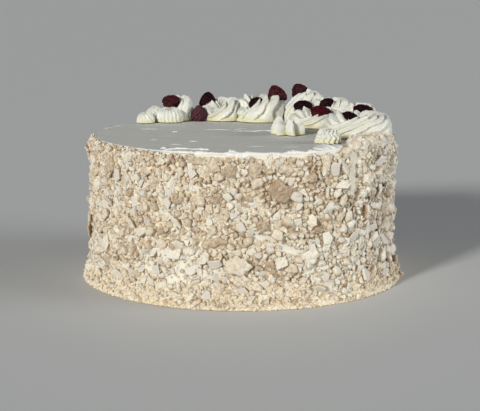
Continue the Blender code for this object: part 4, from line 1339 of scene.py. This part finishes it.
# Shares of the way up from the foot, over the crest and in to the middle: the last ring's and the crest's.
LAST_RING = 0.985
CREST_AT = 0.6
# The rope: its half width, the roundness of its side, and how high its crest is where it starts.
ROPE_HALF_WIDTH = 0.0105
FULLNESS = 0.72
LOWEST_CREST = 0.50
# A ridge rises to its edge within this share of its breadth.
RIBBON_EDGE = 0.13
# Ridges rise as leaves in front of the berries that lie behind this line.
LEAVES_BEHIND = 0.05
# How much wider than a berry its bed in the cream is, and how softly neighbours flatten each other.
BERRY_BED = 1.03
PRESS_SOFTNESS = 0.0005
# Swirls: node, centre x and y, radius, height, degrees where the rope starts, ridges from foot to crest,
# ridges that the rope slants over in its turn, depth of the valleys.
SWIRLS = (
    ("swirl_front", 0.0825, -0.0150, 0.0265, 0.0160, 195.0, 3.4, 12, 0.0026),
    ("swirl_inner", 0.0565, 0.0425, 0.0225, 0.0118, 200.0, 2.5, 9, 0.0022),
    ("swirl_right_rim", 0.0880, 0.0325, 0.0158, 0.0180, 180.0, 3.0, 8, 0.0018),
    ("swirl_far_right", 0.0705, 0.0605, 0.0160, 0.0195, 225.0, 2.0, 7, 0.0022),
    ("swirl_far_middle", 0.0490, 0.0790, 0.0185, 0.0232, 165.0, 2.0, 9, 0.0020),
    ("swirl_far", 0.0140, 0.0825, 0.0225, 0.0195, 210.0, 1.6, 9, 0.0032),
    ("swirl_far_left", -0.0150, 0.0900, 0.0205, 0.0170, 225.0, 1.3, 8, 0.0032),
    ("swirl_left", -0.0498, 0.0850, 0.0120, 0.0190, 240.0, 1.0, 6, 0.0016),
)
# Stars, which the swirls are pressed against too: node, centre x and y, radius, height, lobes, depth of the
# flutes, height of the middle, turn of the lobes, narrowing towards the top, how far the lobes wave, the
# turn of the whole star in degrees, and its shape from 0 for a cone to 1 for a dome.
STARS = (
    ("star_front", 0.0594, -0.0575, 0.0100, 0.0098, 14, 0.17, 0.86, 0.10, 0.40, 0.30, 0.0, 0.25),
    ("star_centre", 0.0334, -0.0112, 0.0130, 0.0132, 6, 0.40, 0.36, 0.30, 0.50, 0.05, 20.0, 0.85),
    ("star_left", -0.0755, 0.0640, 0.0078, 0.0080, 11, 0.09, 1.00, 0.90, 0.80, 0.03, 0.0, 1.0),
    ("star_left_behind", -0.0690, 0.0755, 0.0096, 0.0116, 12, 0.07, 1.04, 0.80, 0.90, 0.03, 0.0, 0.8),
    ("star_left_low", -0.0575, 0.0715, 0.0116, 0.0102, 21, 0.07, 0.96, 0.12, 0.50, 0.03, 0.0, 1.0),
)


def swirl_rows(radius, height, start, ridges, slant, depth, seed):
    """The rope's outside and crest as rows of points, with the depth of the valleys as marks: in red as a
    painted shade there, which also darkens the foot and the dimple, and in green as the swell of the ridges.

    The ridge number of a point is its share of the way up times the ridges, less its share of the turn times
    the slant. Each ridge is a ribbon: fast up to a sharp edge near its lower side, and slowly down above."""
    angle, along = np.meshgrid(full_turn(SWIRL_COLUMNS), np.linspace(0.0, LAST_RING, SWIRL_RINGS))
    turned = angle / (2.0 * math.pi)
    share = eased(turned, 0.0, 0.26) * (1.0 - eased(turned, 0.84, 1.0))
    half_width = min(ROPE_HALF_WIDTH, radius * 0.55)
    hub = radius - half_width
    outer = np.clip(along / CREST_AT, 0.0, 1.0)
    inner = np.clip((along - CREST_AT) / (1.0 - CREST_AT), 0.0, 1.0)
    crest = height * (LOWEST_CREST + (1.0 - LOWEST_CREST) * share)
    climb = np.radians(-22.0) + np.radians(112.0) * outer
    bulge = half_width * (0.82 + 0.18 * share)
    reach = np.where(inner > 0.0, hub * (1.0 - inner), hub + bulge * np.cos(climb) ** FULLNESS)
    dimple = np.minimum(0.52 * height, 0.8 * crest)
    dip = dimple + (crest - dimple) * 0.5 * (1.0 + np.cos(math.pi * inner))
    level = np.where(inner > 0.0, dip, np.maximum(0.28 * crest + 0.72 * crest * np.sin(climb), 0.0))
    spot = np.stack((np.cos(angle) * reach, np.sin(angle) * reach, level + seed), axis=-1)
    wander = 0.34 * lattice_noise(spot, 0.0100, 51) + 0.05 * lattice_noise(spot, 0.0022, 52)
    number = ridges * outer + 1.5 * inner - slant * turned + wander
    place = np.mod(number, 1.0)
    swell = np.minimum(place / RIBBON_EDGE, (1.0 - place) / (1.0 - RIBBON_EDGE))
    swell = 0.85 * swell + 0.15 * np.sin(math.pi * place)
    groove = depth * (1.0 - swell)
    groove = groove * eased(along, 0.0, 0.10) * (1.0 - 0.45 * inner)
    uneven = 0.0006 * lattice_noise(spot, 0.0065, 53) + 0.0002 * lattice_noise(spot, 0.0020, 54)
    groove = groove - uneven * eased(along, 0.0, 0.10)
    leaf = 0.0013 * (swell - 0.45) * eased(outer, 0.70, 1.0) * (1.0 - eased(inner, 0.10, 0.60))
    reach = reach - groove * np.cos(climb) * (1.0 - inner)
    level = level - groove * np.clip(np.sin(climb), 0.0, 1.0) + leaf
    level[0] = 0.0
    around = angle + math.radians(start)
    rows = np.stack((reach * np.cos(around), reach * np.sin(around), level), axis=-1)
    marks = np.ones(rows.shape[:2] + (4,))
    # Red: painted shade, tinted yellow, in the valleys, at the foot and in the dimple.
    marks[..., 0] = 0.40 * (1.0 - swell) ** 2 + 0.75 * eased(-level, -0.0062, -0.0005) + 0.20 * inner
    marks[..., 1] = swell
    return rows, marks


def pressed(rows, swell, x, y, radius, node):
    """The rows in their place, pressed flat along the line to each neighbour, and dented by the berries.

    Points inside a berry drop to its lower side. The ridges beside it rise as leaves, most in front."""
    for other, other_x, other_y, other_radius, *rest in SWIRLS + STARS:
        apart = math.hypot(other_x - x, other_y - y)
        if other == node or apart > radius + other_radius + 0.004:
            continue
        toward = np.array((other_x - x, other_y - y)) / apart
        limit = (apart ** 2 + radius ** 2 - other_radius ** 2) / (2.0 * apart) + 0.0004
        past = rows[..., :2] @ toward - limit
        rows[..., :2] -= PRESS_SOFTNESS * np.logaddexp(0.0, past / PRESS_SOFTNESS)[..., None] * toward
    rows = rows + (x, y, CAKE_HEIGHT + PIPING_CLEARANCE)
    for berry_node, berry_x, berry_y, berry_level, size, *rest in BERRIES:
        centre = np.array((berry_x, berry_y, CAKE_HEIGHT + berry_level))
        offset = (rows - centre) / (BERRY_BED * size)
        across = np.hypot(offset[..., 0], offset[..., 1])
        within = np.linalg.norm(offset, axis=-1)
        lower = centre[2] - BERRY_BED * size * np.sqrt(np.clip(1.0 - across ** 2, 0.0, 1.0))
        rows[..., 2] = np.where(within < 1.0, np.minimum(rows[..., 2], lower), rows[..., 2])
        beside = eased(-across, -1.55, -1.05) * eased(across, 0.70, 0.95) * (within >= 1.0)
        front = eased(-offset[..., 1], 0.0, 0.8) * (berry_y > LEAVES_BEHIND)
        front = front * eased(rows[..., 2], CAKE_HEIGHT + 0.003, CAKE_HEIGHT + 0.008)
        rows[..., 2] += beside * front * (0.0007 + 0.0009 * swell)
    return rows


piped_cream = cream_finish("piped cream", (0.775, 0.777, 0.725, 1.0), (0.78, 0.73, 0.48, 1.0), 0.45, 0.00012)
for seed, (node, x, y, radius, height, start, ridges, slant, depth) in enumerate(SWIRLS):
    rows, swirl_marks = swirl_rows(radius, height, start, ridges, slant, depth, seed)
    swirl_points = pressed(rows, swirl_marks[..., 1], x, y, radius, node)
    swirl = closed_surface(node + "_piece", swirl_points, piped_cream, swirl_marks)
    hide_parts(node)

# The stars: small dollops from the same tube, pressed out and pulled off.
# They use the swirls' finish and are pressed against their neighbours in the same way.
STAR_COLUMNS = 224
STAR_RINGS = 72
# The tips of the lobes lie at this share of the way from the foot to the middle.
TIPS_AT = 0.72


def star_rows(radius, height, lobes, depth, middle, turn, narrowing, waving, facing, doming, seed):
    """A star's lobes as rows of points: they bulge over the foot, lean and end in tips round the middle.

    A lobe's swell is mostly a triangle wave round the star, so that its crest is an edge and the valleys are
    sharp. Each waves on its way up, and the cream goes to the middle's height inside the tips."""
    angle, along = np.meshgrid(full_turn(STAR_COLUMNS), np.linspace(0.0, LAST_RING, STAR_RINGS))
    outer = np.clip(along / TIPS_AT, 0.0, 1.0)
    inner = np.clip((along - TIPS_AT) / (1.0 - TIPS_AT), 0.0, 1.0)
    spot = np.stack((np.cos(angle), np.sin(angle), along * 2.0 + seed), axis=-1)
    wave = waving * np.sin(15.0 * along + 2.0 * lattice_noise(spot, 0.9, 63))
    wave = wave + 0.04 * lattice_noise(spot, 0.6, 61)
    number = lobes * (angle + turn * outer + wave * 6.0 / lobes) / (2.0 * math.pi)
    ridge = 1.0 - 2.0 * np.abs(np.mod(number, 1.0) - 0.5)
    swell = 0.75 * ridge + 0.25 * np.abs(np.sin(math.pi * number))
    flute = (1.0 - swell) ** 0.9
    bulge = 0.08 * doming * np.sin(math.pi * outer)
    reach = radius * (1.0 - narrowing * outer ** (1.0 + 0.6 * doming)) * (1.0 + bulge) / 1.03
    reach = reach * (1.0 - 1.35 * depth * flute) * (1.0 + 0.03 * lattice_noise(spot, 0.25, 62))
    reach = reach * (1.0 - 0.97 * inner)
    tips = 1.0 - 1.3 * depth * flute * outer + 0.05 * lattice_noise(spot, 0.4, 64) * outer
    level = height * (doming * np.sin(0.5 * math.pi * outer) ** 0.9 + (1.0 - doming) * outer) * tips
    level = level + (height * middle - level) * np.minimum(inner / 0.55, 1.0)
    level[0] = 0.0
    around = angle + math.radians(facing)
    rows = np.stack((reach * np.cos(around), reach * np.sin(around), level), axis=-1)
    marks = np.ones(rows.shape[:2] + (4,))
    # Red: painted shade, tinted yellow, in the flutes, at the foot and inside the tips.
    marks[..., 0] = 0.30 * flute ** 2 + 0.70 * eased(-level, -0.0045, -0.0005) + 0.3 * inner
    marks[..., 1] = 0.0
    return rows, marks


for seed, (node, x, y, radius, height, *star_form) in enumerate(STARS):
    rows, star_marks = star_rows(radius, height, *star_form, seed)
    star_points = pressed(rows, star_marks[..., 1], x, y, radius, node)
    star = closed_surface(node + "_piece", star_points, piped_cream, star_marks)
    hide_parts(node)
